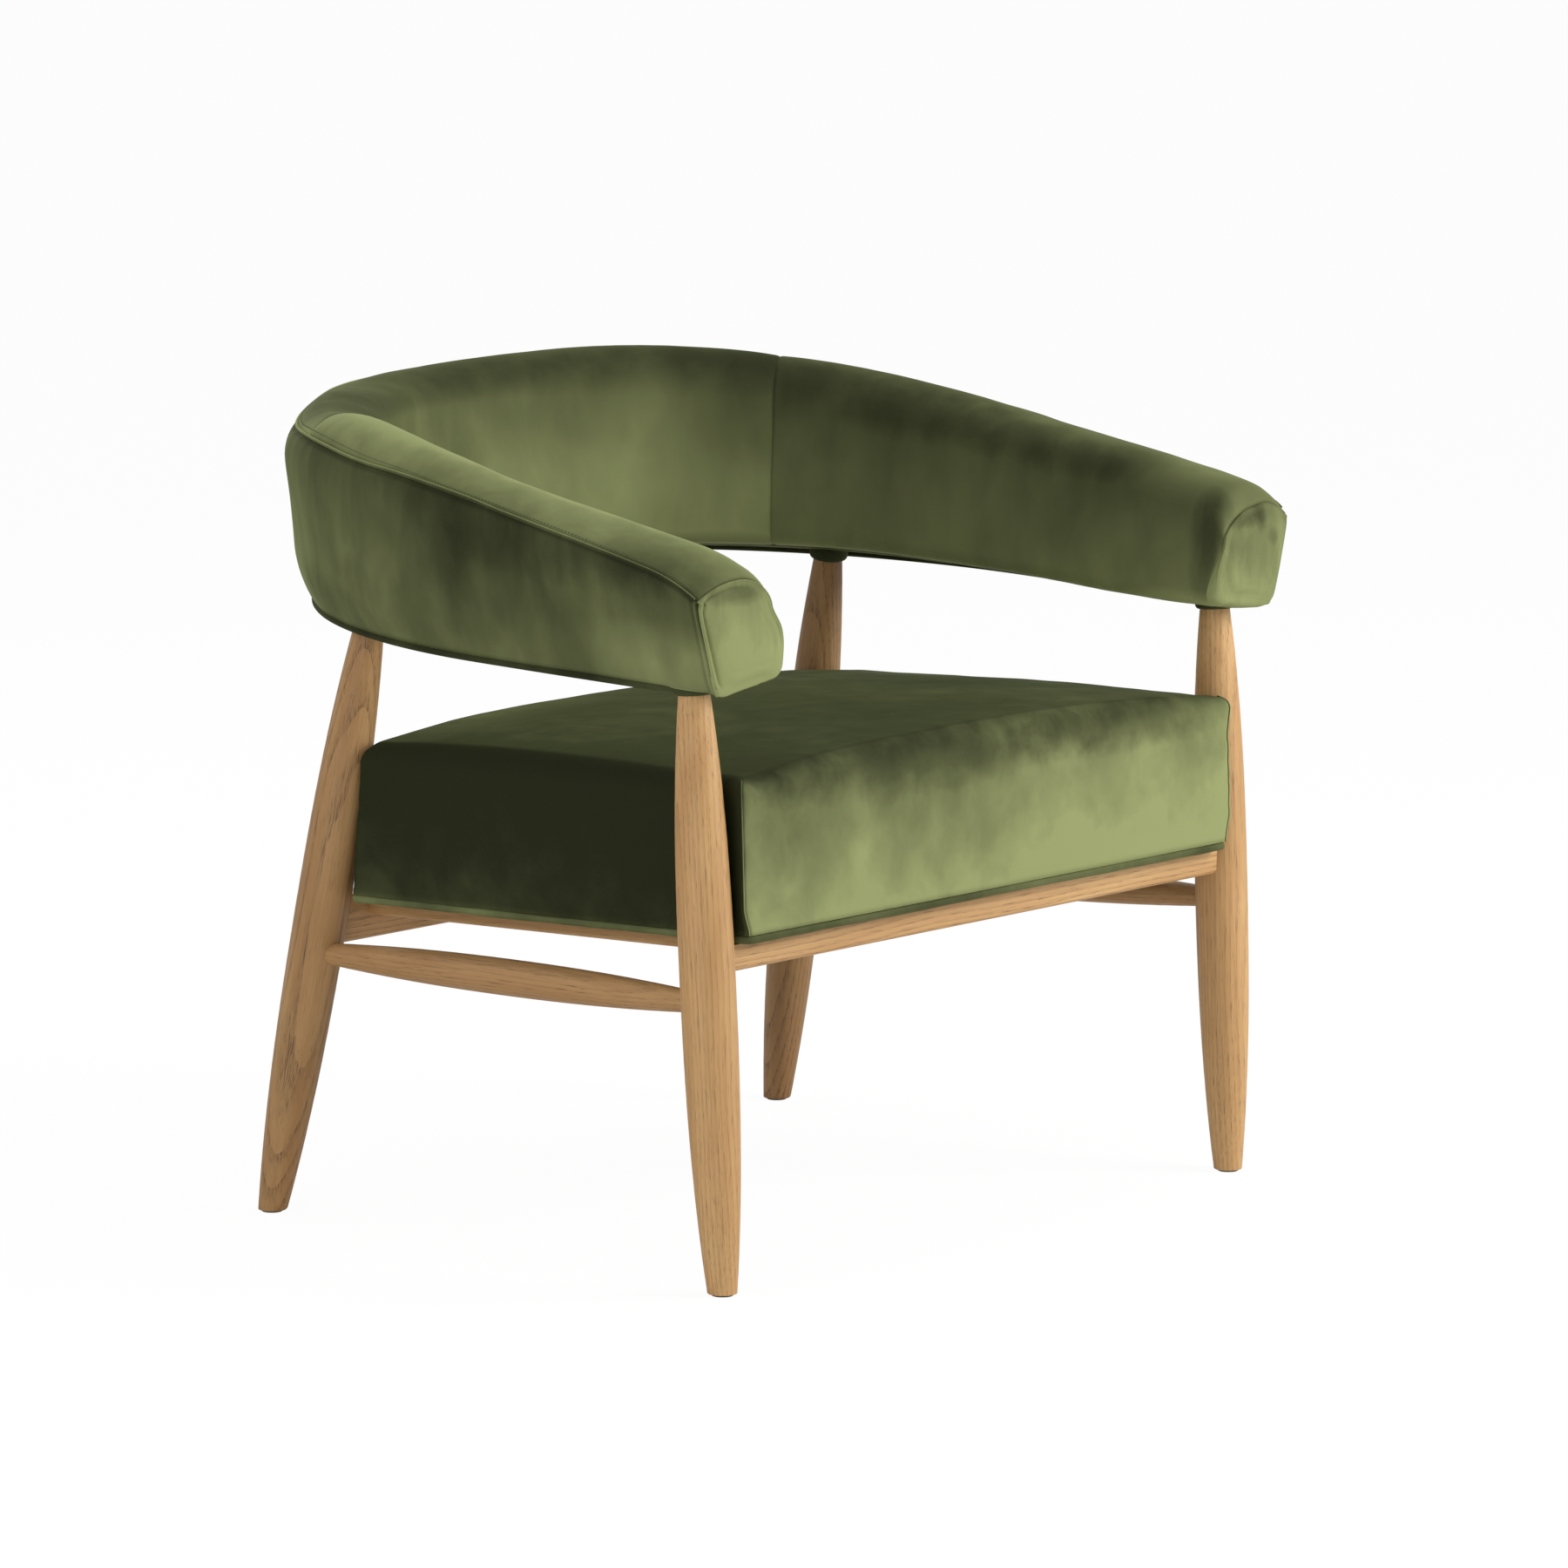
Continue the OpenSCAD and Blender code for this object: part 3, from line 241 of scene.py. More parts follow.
def stitches(name: str, path: np.ndarray, out: np.ndarray, material: Material) -> Piece:
    """A row of short stitches that lie along a path and dip into the cloth at their ends.

    Args:
        name: name of the piece.
        path: points of the seam, close together.
        out: the cloth's outward direction at each point.
        material: finish of the thread.

    Returns:
        All the stitches as one object.
    """
    pitch, length, radius, lift = 4.2 * MM, 3.3 * MM, 0.42 * MM, 0.3 * MM
    steps = np.r_[0.0, np.cumsum(np.linalg.norm(np.diff(path, axis=0), axis=1))]
    rows, sides = 6, 6
    shares, turn = np.linspace(0.0, 1.0, rows), circle(sides)
    bow = np.sin(math.pi * shares)[:, None]
    points, faces = [], []
    for start in np.arange(pitch, steps[-1] - pitch, pitch):
        at = start + shares * length
        line = np.stack([np.interp(at, steps, path[:, k]) for k in range(3)], axis=1)
        normal = np.stack([np.interp(at, steps, out[:, k]) for k in range(3)], axis=1)
        normal /= np.linalg.norm(normal, axis=1, keepdims=True)
        line = line + normal * (bow * 2.0 - 1.0) * lift
        along = line[-1] - line[0]
        across = np.cross(along, normal[2])
        across /= np.linalg.norm(across)
        first = len(points) * sides
        for k, share in enumerate(shares):
            thin = radius * math.sqrt(max(0.1, 1.0 - (2.0 * share - 1.0) ** 4))
            points.append(line[k] + thin * (np.cos(turn)[:, None] * across + np.sin(turn)[:, None] * normal[k]))
        faces += [tuple(first + n for n in quad) for quad in grid_faces(rows, sides, closed=True)]
        faces += closed_ends(rows, sides, first)
    return make_mesh(name, np.array(points), faces, material)


def dress(piece: Piece, slot: str, *nodes: str) -> Piece:
    """Puts a piece on the chair's one body and hides the solids it stands for.

    Args:
        piece: the finished object.
        slot: a material slot name; not used.
        nodes: names of the CAD nodes that the piece replaces.

    Returns:
        The same piece.
    """
    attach(piece, "root")
    if nodes:
        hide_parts(*nodes)
    log.info("%s: %d faces", piece.name, len(piece.data.polygons))
    return piece


class NodeSheet:
    """Adds shader nodes to a material or a world and joins them."""

    def __init__(self, owner: Material | bpy.types.World) -> None:
        """Empties the node tree of a material or world.

        Args:
            owner: the material or world.
        """
        self.owner = owner
        self.owner.use_nodes = True
        self.tree = self.owner.node_tree
        self.tree.nodes.clear()

    @classmethod
    def for_material(cls, name: str) -> "NodeSheet":
        """The empty sheet of a new material."""
        return cls(bpy.data.materials.new(name))

    def add(self, kind: str, inputs: dict | None = None, **settings: object) -> bpy.types.Node:
        """Adds one node.

        Args:
            kind: the node's type name without its ShaderNode prefix.
            inputs: socket name or number to a value or to another node's output.
            settings: attributes of the node.

        Returns:
            The new node.
        """
        made = self.tree.nodes.new("ShaderNode" + kind)
        for key, value in settings.items():
            setattr(made, key, value)
        for key, value in (inputs or {}).items():
            if isinstance(value, Socket):
                self.tree.links.new(value, made.inputs[key])
            else:
                made.inputs[key].default_value = value
        return made

    def math(self, operation: str, *values: object) -> Socket:
        """A number worked out from up to three others."""
        return self.add("Math", dict(enumerate(values)), operation=operation).outputs[0]

    def vector(self, operation: str, *values: object) -> Socket:
        """A vector worked out from up to three others."""
        return self.add("VectorMath", dict(enumerate(values)), operation=operation).outputs[0]

    def measure(self, operation: str, *values: object) -> Socket:
        """A number worked out from one or two vectors."""
        return self.add("VectorMath", dict(enumerate(values)), operation=operation).outputs["Value"]

    def blend(self, share: object, a: object, b: object) -> Socket:
        """A colour between a and b."""
        return self.add("Mix", {0: share, 6: a, 7: b}, data_type="RGBA").outputs[2]

    def range(self, value: object, low: float, high: float, to_low: float, to_high: float) -> Socket:
        """The value moved from one range to another, and held inside it."""
        return self.add(
            "MapRange", {"Value": value, "From Min": low, "From Max": high, "To Min": to_low, "To Max": to_high}
        ).outputs[0]

    def clouds(self, where: object, scale: float, detail: float, rough: float = 0.5, twist: float = 0.0) -> Socket:
        """Noise at a place, from 0 to 1."""
        return self.add(
            "TexNoise", {"Vector": where, "Scale": scale, "Detail": detail, "Roughness": rough, "Distortion": twist}
        ).outputs[0]

    def stretched(self, where: object, scale: Triple, shift: Triple = (0.0, 0.0, 0.0)) -> Socket:
        """Coordinates scaled by a different amount along each axis, and then shifted."""
        return self.add("Mapping", {"Vector": where, "Location": shift, "Scale": scale}).outputs[0]

    def bump(self, height: object, distance: float, strength: float, below: object | None = None) -> Socket:
        """A normal bent by a height, on top of another bump where one is given.

        Args:
            height: the height, from 0 to 1.
            distance: height of the relief in metres.
            strength: share of the bump.
            below: normal of the bump under this one.

        Returns:
            The bent normal.
        """
        inputs = {"Height": height, "Distance": distance, "Strength": strength}
        if below is not None:
            inputs["Normal"] = below
        return self.add("Bump", inputs).outputs[0]

    def finish(self, **sockets: object) -> Material:
        """Ends the material with a Principled shader.

        Args:
            sockets: the shader's sockets, with underscores for spaces.

        Returns:
            The finished material.
        """
        shader = self.add("BsdfPrincipled", {k.replace("_", " "): v for k, v in sockets.items()})
        self.add("OutputMaterial", {"Surface": shader.outputs[0]})
        return self.owner


def rgb(*display: int) -> Colour:
    """A linear colour from its red, green and blue of 0 to 255 on a display."""
    linear = [((c / 255.0 + 0.055) / 1.055) ** 2.4 if c > 10 else c / 255.0 / 12.92 for c in display]
    return (*linear, 1.0)


@dataclass(frozen=True)
class PileAndShadeSpot:
    """A soft-edged spot of changed tone, partly pile that lies another way and partly painted light and shade: its
    middle, its half sizes and how much lighter it is.
    """

    middle: Triple
    size: Triple
    lighter: float


@dataclass(frozen=True)
class Velvet:
    """Short-pile velvet whose tone follows how each face is turned and where it stands, partly the lie of the pile and
    partly painted light and shade, so that one side of it is light and the other deep.
    """

    name: str
    base: float
    # Tone by facing direction: the lie of the pile together with painted light and shade
    lay_and_light: Triple = (0.0, 0.0, 0.0)
    # Change of tone per metre along each axis
    drift: Triple = (0.0, 0.0, 0.0)
    deep: Colour = rgb(38, 41, 25)
    light: Colour = rgb(152, 159, 107)
    tint: Colour = rgb(176, 194, 104)
    sheen: float = 0.09
    patches: Triple = (7.0, 7.0, 6.0)
    patch_share: float = 0.16
    strokes: Triple = (26.0, 26.0, 11.0)
    stroke_share: float = 0.14
    most: float = 0.93
    # Spots of changed tone, partly pile and partly painted light and shade
    pile_and_shade_spots: tuple[PileAndShadeSpot, ...] = ()

    def make(self) -> Material:
        """Builds the material from a tone by facing and place (the lie of the pile with painted light and shade), spots
        of pile and painted light and shade, patches, strokes and the pile itself.

        Returns:
            The material.
        """
        sheet = NodeSheet.for_material(self.name)
        coords = sheet.add("TexCoord").outputs
        where = coords["Object"]
        patches = sheet.clouds(sheet.stretched(where, self.patches), 1.0, 2.0, 0.5, 0.35)
        patches = sheet.range(patches, 0.36, 0.64, -0.5, 0.5)
        strokes = sheet.clouds(sheet.stretched(where, self.strokes), 1.0, 3.0, 0.55, 0.3)
        strokes = sheet.range(strokes, 0.3, 0.7, -0.5, 0.5)
        # Painted light and shade by facing direction, along with the lie of the pile
        lay_and_light = sheet.measure("DOT_PRODUCT", coords["Normal"], self.lay_and_light)
        tone = sheet.math("ADD", lay_and_light, sheet.measure("DOT_PRODUCT", where, self.drift))
        tone = sheet.math("MULTIPLY_ADD", patches, self.patch_share, tone)
        tone = sheet.math("MULTIPLY_ADD", strokes, self.stroke_share, tone)
        for spot in self.pile_and_shade_spots:
            tone = sheet.math("MULTIPLY_ADD", self.inside(sheet, where, strokes, spot), spot.lighter, tone)
        tone = sheet.range(tone, -self.base, self.most - self.base, 0.0, self.most)
        share = sheet.math("POWER", tone, 2.0)
        pile = sheet.clouds(where, 1500.0, 2.0, 0.6)
        share = sheet.math("ADD", sheet.range(pile, 0.3, 0.7, -0.02, 0.02), share)
        colour = sheet.blend(sheet.range(share, 0.0, 1.0, 0.0, 1.0), self.deep, self.light)
        low = sheet.bump(patches, 1.2 * MM, 0.5, sheet.bump(strokes, 0.5 * MM, 0.5))
        normal = sheet.bump(pile, 0.2 * MM, 0.2, low)
        return sheet.finish(
            Base_Color=colour,
            Roughness=sheet.range(tone, 0.0, 1.0, 0.84, 0.68),
            Normal=normal,
            Sheen_Weight=self.sheen,
            Sheen_Roughness=0.42,
            Sheen_Tint=self.tint,
            Specular_IOR_Level=0.05,
        )

    @staticmethod
    def inside(sheet: NodeSheet, where: Socket, strokes: Socket, spot: PileAndShadeSpot) -> Socket:
        """How far a place is inside a spot of pile and painted light and shade, whose edge the strokes fray.

        Args:
            sheet: the material's sheet.
            where: the place.
            strokes: the strokes' height.
            spot: the spot of pile and painted light and shade.

        Returns:
            A number from 0 outside the spot to 1 in its middle.
        """
        scale = tuple(1.0 / (s * MM) for s in spot.size)
        middle = tuple(-m * MM * s for m, s in zip(spot.middle, scale))
        away = sheet.measure("LENGTH", sheet.stretched(where, scale, middle))
        away = sheet.math("MULTIPLY_ADD", strokes, 0.35, away)
        return sheet.range(away, 1.3, 0.4, 0.0, 1.0)


@dataclass(frozen=True)
class AshWood:
    """Stained ash whose grain runs along one line of the piece."""

    name: str
    start: Triple
    end: Triple
    grain: Grain = Grain.PLAIN
    pith: tuple[float, float] = (0.034, 0.021)
    pale: Colour = rgb(212, 172, 118)
    deep: Colour = rgb(176, 130, 80)
    line: Colour = rgb(104, 76, 47)
    # Share of light left by the staining, which on the rear legs also paints in shade
    stain_and_shade: float = 1.0
    ring_width: float = 4.6 * MM
    wander: Triple = (0.045, 0.045, 0.0)
    run_out: float = 0.012

    def stained(self, colour: Colour) -> Colour:
        """A colour darkened by this piece's share of staining and painted shade, which takes more of the green and
        blue.

        Args:
            colour: the colour before that darkening.

        Returns:
            The stained colour.
        """
        red, green, blue, _ = colour
        return (red * self.stain_and_shade, green * self.stain_and_shade**1.1, blue * self.stain_and_shade**1.2, 1.0)

    def make(self) -> Material:
        """Builds the material from growth rings, fibres, pores and broad changes of tone.

        Returns:
            The material.
        """
        sheet = NodeSheet.for_material(self.name)
        where = sheet.add("TexCoord").outputs["Object"]
        turn = (Vector(self.end) - Vector(self.start)).to_track_quat("Z", "Y").to_euler()
        local = sheet.add(
            "Mapping", {"Vector": where, "Location": self.start, "Rotation": turn}, vector_type="TEXTURE"
        ).outputs[0]
        drift = sheet.add("TexNoise", {"Vector": sheet.stretched(local, (9.0, 9.0, 1.7)), "Scale": 1.0, "Detail": 2.0})
        bent = sheet.vector("SUBTRACT", drift.outputs[1], (0.5, 0.5, 0.5))
        bent = sheet.vector("MULTIPLY_ADD", bent, self.wander, local)
        bent = sheet.vector("SUBTRACT", bent, (*self.pith, 0.0))
        radius = sheet.measure("LENGTH", sheet.vector("MULTIPLY", bent, (1.0, 1.0, self.run_out)))
        rings = sheet.math("FRACT", sheet.math("MULTIPLY", radius, 1.0 / self.ring_width))
        early = sheet.range(rings, 0.45, 0.98, 0.0, 1.0)
        fibres = sheet.clouds(sheet.stretched(local, (620.0, 620.0, 9.0)), 1.0, 3.0, 0.6)
        pores = sheet.clouds(sheet.stretched(local, (1500.0, 1500.0, 42.0)), 1.0, 2.0, 0.5)
        broad = sheet.clouds(sheet.stretched(local, (22.0, 22.0, 3.0)), 1.0, 3.0, 0.55, 0.4)
        pale, deep, line = (self.stained(c) for c in (self.pale, self.deep, self.line))
        tone = sheet.blend(sheet.range(broad, 0.3, 0.7, 0.0, 1.0), pale, deep)
        tone = sheet.blend(sheet.range(fibres, 0.38, 0.68, 0.0, 0.42), tone, deep)
        ring_share = sheet.math("MULTIPLY", early, self.grain.value)
        ring_share = sheet.math("MULTIPLY", ring_share, sheet.range(pores, 0.52, 0.62, 0.25, 1.0))
        tone = sheet.blend(ring_share, tone, line)
        tone = sheet.blend(sheet.range(pores, 0.62, 0.72, 0.0, 0.55), tone, line)
        normal = sheet.bump(pores, 0.25 * MM, 0.25, sheet.bump(ring_share, 0.2 * MM, 0.3))
        return sheet.finish(
            Base_Color=tone,
            Roughness=sheet.range(fibres, 0.3, 0.7, 0.42, 0.56),
            Normal=normal,
            Specular_IOR_Level=0.35,
        )


@dataclass(frozen=True)
class Plywood:
    """Raw birch plywood."""

    name: str
    pale: Colour = rgb(214, 184, 140)
    dark: Colour = rgb(170, 132, 88)

    def make(self) -> Material:
        """Builds the material from thin plies and a soft figure.

        Returns:
            The material.
        """
        sheet = NodeSheet.for_material(self.name)
        where = sheet.add("TexCoord").outputs["Object"]
        figure = sheet.clouds(sheet.stretched(where, (12.0, 60.0, 60.0)), 1.0, 4.0, 0.6, 0.5)
        tone = sheet.blend(sheet.range(figure, 0.3, 0.7, 0.0, 1.0), self.pale, self.dark)
        return sheet.finish(Base_Color=tone, Roughness=0.7, Normal=sheet.bump(figure, 0.2 * MM, 0.3))


@dataclass(frozen=True)
class WovenCloth:
    """Plain woven cloth, such as webbing, a dust cover or a thread."""

    name: str
    tone: Colour
    shade: Colour
    threads_per_metre: float = 700.0
    roughness: float = 0.85

    def make(self) -> Material:
        """Builds the material from two crossing sets of threads.

        Returns:
            The material.
        """
        sheet = NodeSheet.for_material(self.name)
        where = sheet.add("TexCoord").outputs["Object"]
        weave = sheet.add(
            "TexChecker", {"Vector": where, "Scale": self.threads_per_metre, "Color1": self.tone, "Color2": self.shade}
        )
        wear = sheet.range(sheet.clouds(where, 9.0, 4.0, 0.6), 0.35, 0.7, 0.0, 0.4)
        tone = sheet.blend(wear, weave.outputs[0], self.shade)
        normal = sheet.bump(weave.outputs[1], 0.2 * MM, 0.4)
        return sheet.finish(Base_Color=tone, Roughness=self.roughness, Normal=normal)


@dataclass(frozen=True)
class HardFinish:
    """Metal or plastic with fine wear."""

    name: str
    tone: Colour
    metallic: float
    roughness: float

    def make(self) -> Material:
        """Builds the material with a faint change of tone and roughness.

        Returns:
            The material.
        """
        sheet = NodeSheet.for_material(self.name)
        where = sheet.add("TexCoord").outputs["Object"]
        wear = sheet.clouds(where, 240.0, 4.0, 0.6)
        worn = tuple(0.7 * c for c in self.tone[:3]) + (1.0,)
        tone = sheet.blend(sheet.range(wear, 0.4, 0.7, 0.0, 0.5), self.tone, worn)
        rough = sheet.range(wear, 0.3, 0.7, self.roughness - 0.08, self.roughness + 0.08)
        return sheet.finish(
            Base_Color=tone, Roughness=rough, Metallic=self.metallic, Normal=sheet.bump(wear, 0.05 * MM, 0.2)
        )


@dataclass(frozen=True)
class Foam:
    """Open-cell foam."""

    name: str
    tone: Colour = rgb(228, 214, 168)

    def make(self) -> Material:
        """Builds the material from small open cells.

        Returns:
            The material.
        """
        sheet = NodeSheet.for_material(self.name)
        where = sheet.add("TexCoord").outputs["Object"]
        cells = sheet.add("TexVoronoi", {"Vector": where, "Scale": 500.0}).outputs[0]
        shade = tuple(0.75 * c for c in self.tone[:3]) + (1.0,)
        tone = sheet.blend(sheet.range(cells, 0.2, 0.7, 0.0, 1.0), shade, self.tone)
        return sheet.finish(Base_Color=tone, Roughness=0.95, Normal=sheet.bump(cells, 0.4 * MM, 0.5))


@dataclass(frozen=True)
class BandForm:
    """The arm and back band: its plan, its height lines and its padded section."""

    half_width: float = 415.0 * MM
    arm_end_y: float = -365.0 * MM
    back_y: float = 371.5 * MM
    arm_length: float = 288.0 * MM
    seam_front: float = 616.0 * MM
    seam_back: float = 730.0 * MM
    hem_front: float = 535.0 * MM
    hem_back: float = 558.0 * MM
    belly_front: float = 537.0 * MM
    belly_back: float = 560.0 * MM
    end_drop: float = 10.0 * MM
    end_drop_length: float = 60.0 * MM
    lean_front: float = 18.0 * MM
    lean_back: float = 12.0 * MM
    curl_front: float = 8.0 * MM
    curl_back: float = 15.0 * MM
    seam_in_back: float = 9.0 * MM
    crown_in_front: float = 56.0 * MM
    crown_in_back: float = 40.0 * MM
    crown_front: float = 20.0 * MM
    crown_back: float = 18.0 * MM
    crown_dip: float = 7.0 * MM
    roll_in_front: float = 98.0 * MM
    roll_in_back: float = 92.0 * MM
    roll_height_front: float = 31.0 * MM
    roll_height_back: float = 41.0 * MM
    thickness: float = 109.0 * MM
    belly_radius: float = 15.0 * MM
    belly_full: float = 3.0 * MM
    under_full: float = 2.4 * MM
    upright_seam_angle: float = 35.0
    # The outer face: shares of its height that lean and curl in, its fullness, and where an arm's plain lean fades out
    lean_share: float = 0.8
    curl_share: float = 0.3
    face_full: float = 1.2 * MM
    bend_hollow: float = 3.4 * MM
    end_lean: float = 27.0 * MM
    end_lean_share: float = 0.95
    end_lean_fades: tuple[float, float] = (90.0 * MM, 400.0 * MM)
    # Softness of the padding, in mm: places along the band from its right end, and how far a line is off its height
    seam_shift: tuple[tuple[float, float], ...] = (
        (0, 0), (900, 0), (1000, -1), (1070, -4), (1142, -12), (1200, -14.5), (1244, -14), (1308, -9.6), (1399, -4.5),
        (1465, -2.5), (1525, 1.3), (1622, 1.5), (1700, 0.5), (1880, 0),
    )
    crown_shift: tuple[tuple[float, float], ...] = (
        (0, 3), (94, 0.5), (300, -2), (451, 2.5), (545, 4.5), (658, 4.5), (733, 1.6), (808, -3), (884, -7),
        (998, -11.8), (1070, -15), (1142, -12.5), (1214, -13), (1286, -9), (1334, 0), (1400, 7), (1472, 8.4),
        (1544, 7.5), (1616, 2.5), (1700, 0), (1880, 0),
    )
    belly_shift: tuple[tuple[float, float], ...] = (
        (0, 0), (80, -0.5), (160, 1.5), (250, 3), (360, 3.2), (470, 4.2), (560, 3.5), (700, 1), (800, 0), (1880, 0),
    )

    @property
    def bend_length(self) -> float:
        """Nominal length of the bend of the band."""
        return math.pi * self.half_width

    @property
    def length(self) -> float:
        """Nominal length of the band from arm end to arm end."""
        return 2.0 * self.arm_length + self.bend_length

    @property
    def upright_seam(self) -> float:
        """Place of the right upright seam along the band."""
        return self.arm_length + self.bend_length * self.upright_seam_angle / 180.0

    def outline(self, p: np.ndarray) -> tuple[np.ndarray, np.ndarray]:
        """Places on the outline and its outward directions.

        Args:
            p: lengths along the band from its right end.

        Returns:
            Two arrays of x and y.
        """
        angle = np.clip((p - self.arm_length) / self.bend_length, 0.0, 1.0) * math.pi
        past = np.minimum(p - self.arm_length, 0.0) + np.minimum(self.length - self.arm_length - p, 0.0)
        bend_y = self.arm_end_y + self.arm_length
        bend_depth = self.back_y - bend_y
        place = np.stack([self.half_width * np.cos(angle), bend_y + bend_depth * np.sin(angle) + past], axis=-1)
        out = np.stack([np.cos(angle) / self.half_width, np.sin(angle) / bend_depth], axis=-1)
        return place, out / np.linalg.norm(out, axis=-1, keepdims=True)

    def depth_share(self, y: np.ndarray) -> np.ndarray:
        """Share of the way from the arm ends to the back."""
        return np.clip((y - self.arm_end_y) / (self.back_y - self.arm_end_y), 0.0, 1.0)

    def hem(self, y: np.ndarray) -> np.ndarray:
        """Height of the hem."""
        return mix(self.hem_front, self.hem_back, self.depth_share(y) ** 1.3)

    def belly(self, y: np.ndarray) -> np.ndarray:
        """Height of the inner lower edge."""
        return mix(self.belly_front, self.belly_back, np.sin(0.5 * math.pi * self.depth_share(y)) ** 1.4)

    def seam(self, y: np.ndarray) -> np.ndarray:
        """Height of the top seam, which drops at the arm ends.

        Args:
            y: places from the front to the back.

        Returns:
            The heights.
        """
        near_end = 1.0 - (1.0 - np.clip((y - self.arm_end_y) / self.end_drop_length, 0.0, 1.0)) ** 2
        rise = self.seam_back - self.seam_front - self.end_drop
        return self.seam_front + self.end_drop * near_end + rise * (1.0 - (1.0 - self.depth_share(y)) ** 1.7)

    def place(self, p: np.ndarray, inward: np.ndarray | float, z: np.ndarray | float) -> np.ndarray:
        """Points at a distance inward from the outline and at a height.

        Args:
            p: lengths along the band.
            inward: distances from the outline.
            z: heights.

        Returns:
            An array of positions.
        """
        place, out = self.outline(p)
        x = place[..., 0] - inward * out[..., 0]
        y = place[..., 1] - inward * out[..., 1]
        return np.stack(np.broadcast_arrays(x, y, z), axis=-1)


@dataclass(frozen=True)
class Crease:
    """A soft groove along a seam, which is a ridge where its depth is negative, at a distance past the seam."""

    depth: float
    width: float
    past: float = 0.0

    def at(self, distance: np.ndarray | float) -> np.ndarray:
        """Its depth at distances from the seam."""
        return self.depth * bell(distance - self.past, self.width)


@dataclass(frozen=True)
class Gathers:
    """Small folds that run out from a seam, and rise between two distances from it."""

    height: float
    folds_per_metre: float
    seed: float
    reach: float
    rise: tuple[float, float]

    def at(self, along: np.ndarray, distance: np.ndarray) -> np.ndarray:
        """Their height.

        Args:
            along: points over which the folds follow each other.
            distance: distances from the seam.

        Returns:
            One height for each point.
        """
        folds = self.height * cloudy(along, self.folds_per_metre, self.seed)
        return folds * bell(distance, self.reach) * fade(np.abs(distance), *self.rise)


@dataclass(frozen=True)
class ArmEnd:
    """How one arm's padding is drawn in at its end: each place round the section has its values in millimetres."""

    reach: float
    forward: float
    lift: float
    edge_welt: float
    # Groove in the cap's face, beside its seam
    groove: Crease
    # Radius of the rounded edge of the cap
    edge: Marked
    # Pull inward and up
    pulls: tuple[tuple[str, float, float], ...]
    # Widening toward the end
    flare: Marked = (("start", 0), ("hem", 0))


ARM_ENDS = {
    Side.RIGHT: ArmEnd(
        reach=13.0 * MM,
        forward=4.5 * MM,
        lift=5.0 * MM,
        edge_welt=0.0,
        groove=Crease(0.45 * MM, 1.1 * MM, past=2.4 * MM),
        edge=(
            ("start", 5), ("low", 4), ("seam", 4), ("crown", 3), ("roll", 2.5), ("inner", 5), ("belly_top", 12),
            ("corner", 12), ("under", 9), ("hem", 7),
        ),
        pulls=(
            ("start", -5, -1.5), ("low", -5, 0), ("seam", -1, -5), ("quarter", 0, -10), ("crown", -1, -16),
            ("turn", -4, -16), ("roll", -3, -6), ("inner", -3, 0), ("belly_top", 0, 0), ("corner", 0, 1),
            ("under", 0, 1), ("hem", -2, -1.5),
        ),
    ),
    Side.LEFT: ArmEnd(
        reach=14.0 * MM,
        forward=0.0,
        lift=0.0,
        edge_welt=1.7 * MM,
        groove=Crease(1.5 * MM, 1.1 * MM, past=2.4 * MM),
        edge=(
            ("start", 3), ("low", 1.6), ("seam", 1.6), ("crown", 1.8), ("roll", 2.5), ("inner", 3), ("belly_top", 5),
            ("corner", 6), ("under", 5), ("hem", 3),
        ),
        pulls=(
            ("start", 0, -3.5), ("low", 0, 0), ("seam", 1, 0), ("quarter", 0, -5), ("crown", 0, -6.5),
            ("turn", -1.5, -5), ("roll", 0, -1), ("inner", 0, 0), ("belly_top", 0, 0), ("corner", 0, 1),
            ("under", 0, 1), ("hem", 0, -3.5),
        ),
        flare=(
            ("start", 0), ("turn", 0), ("roll", 1), ("hollow", 8), ("inner", 7.5), ("belly_top", 7), ("corner", 6),
            ("under", 0), ("hem", 0),
        ),
    ),
}


@dataclass(frozen=True)
class BandCovers:
    """Finishes of the band's panels, trim and thread."""

    outer: Material
    right: Material
    back: Material
    left: Material
    under: Material
    cap: Material
    trim: Material
    thread: Material


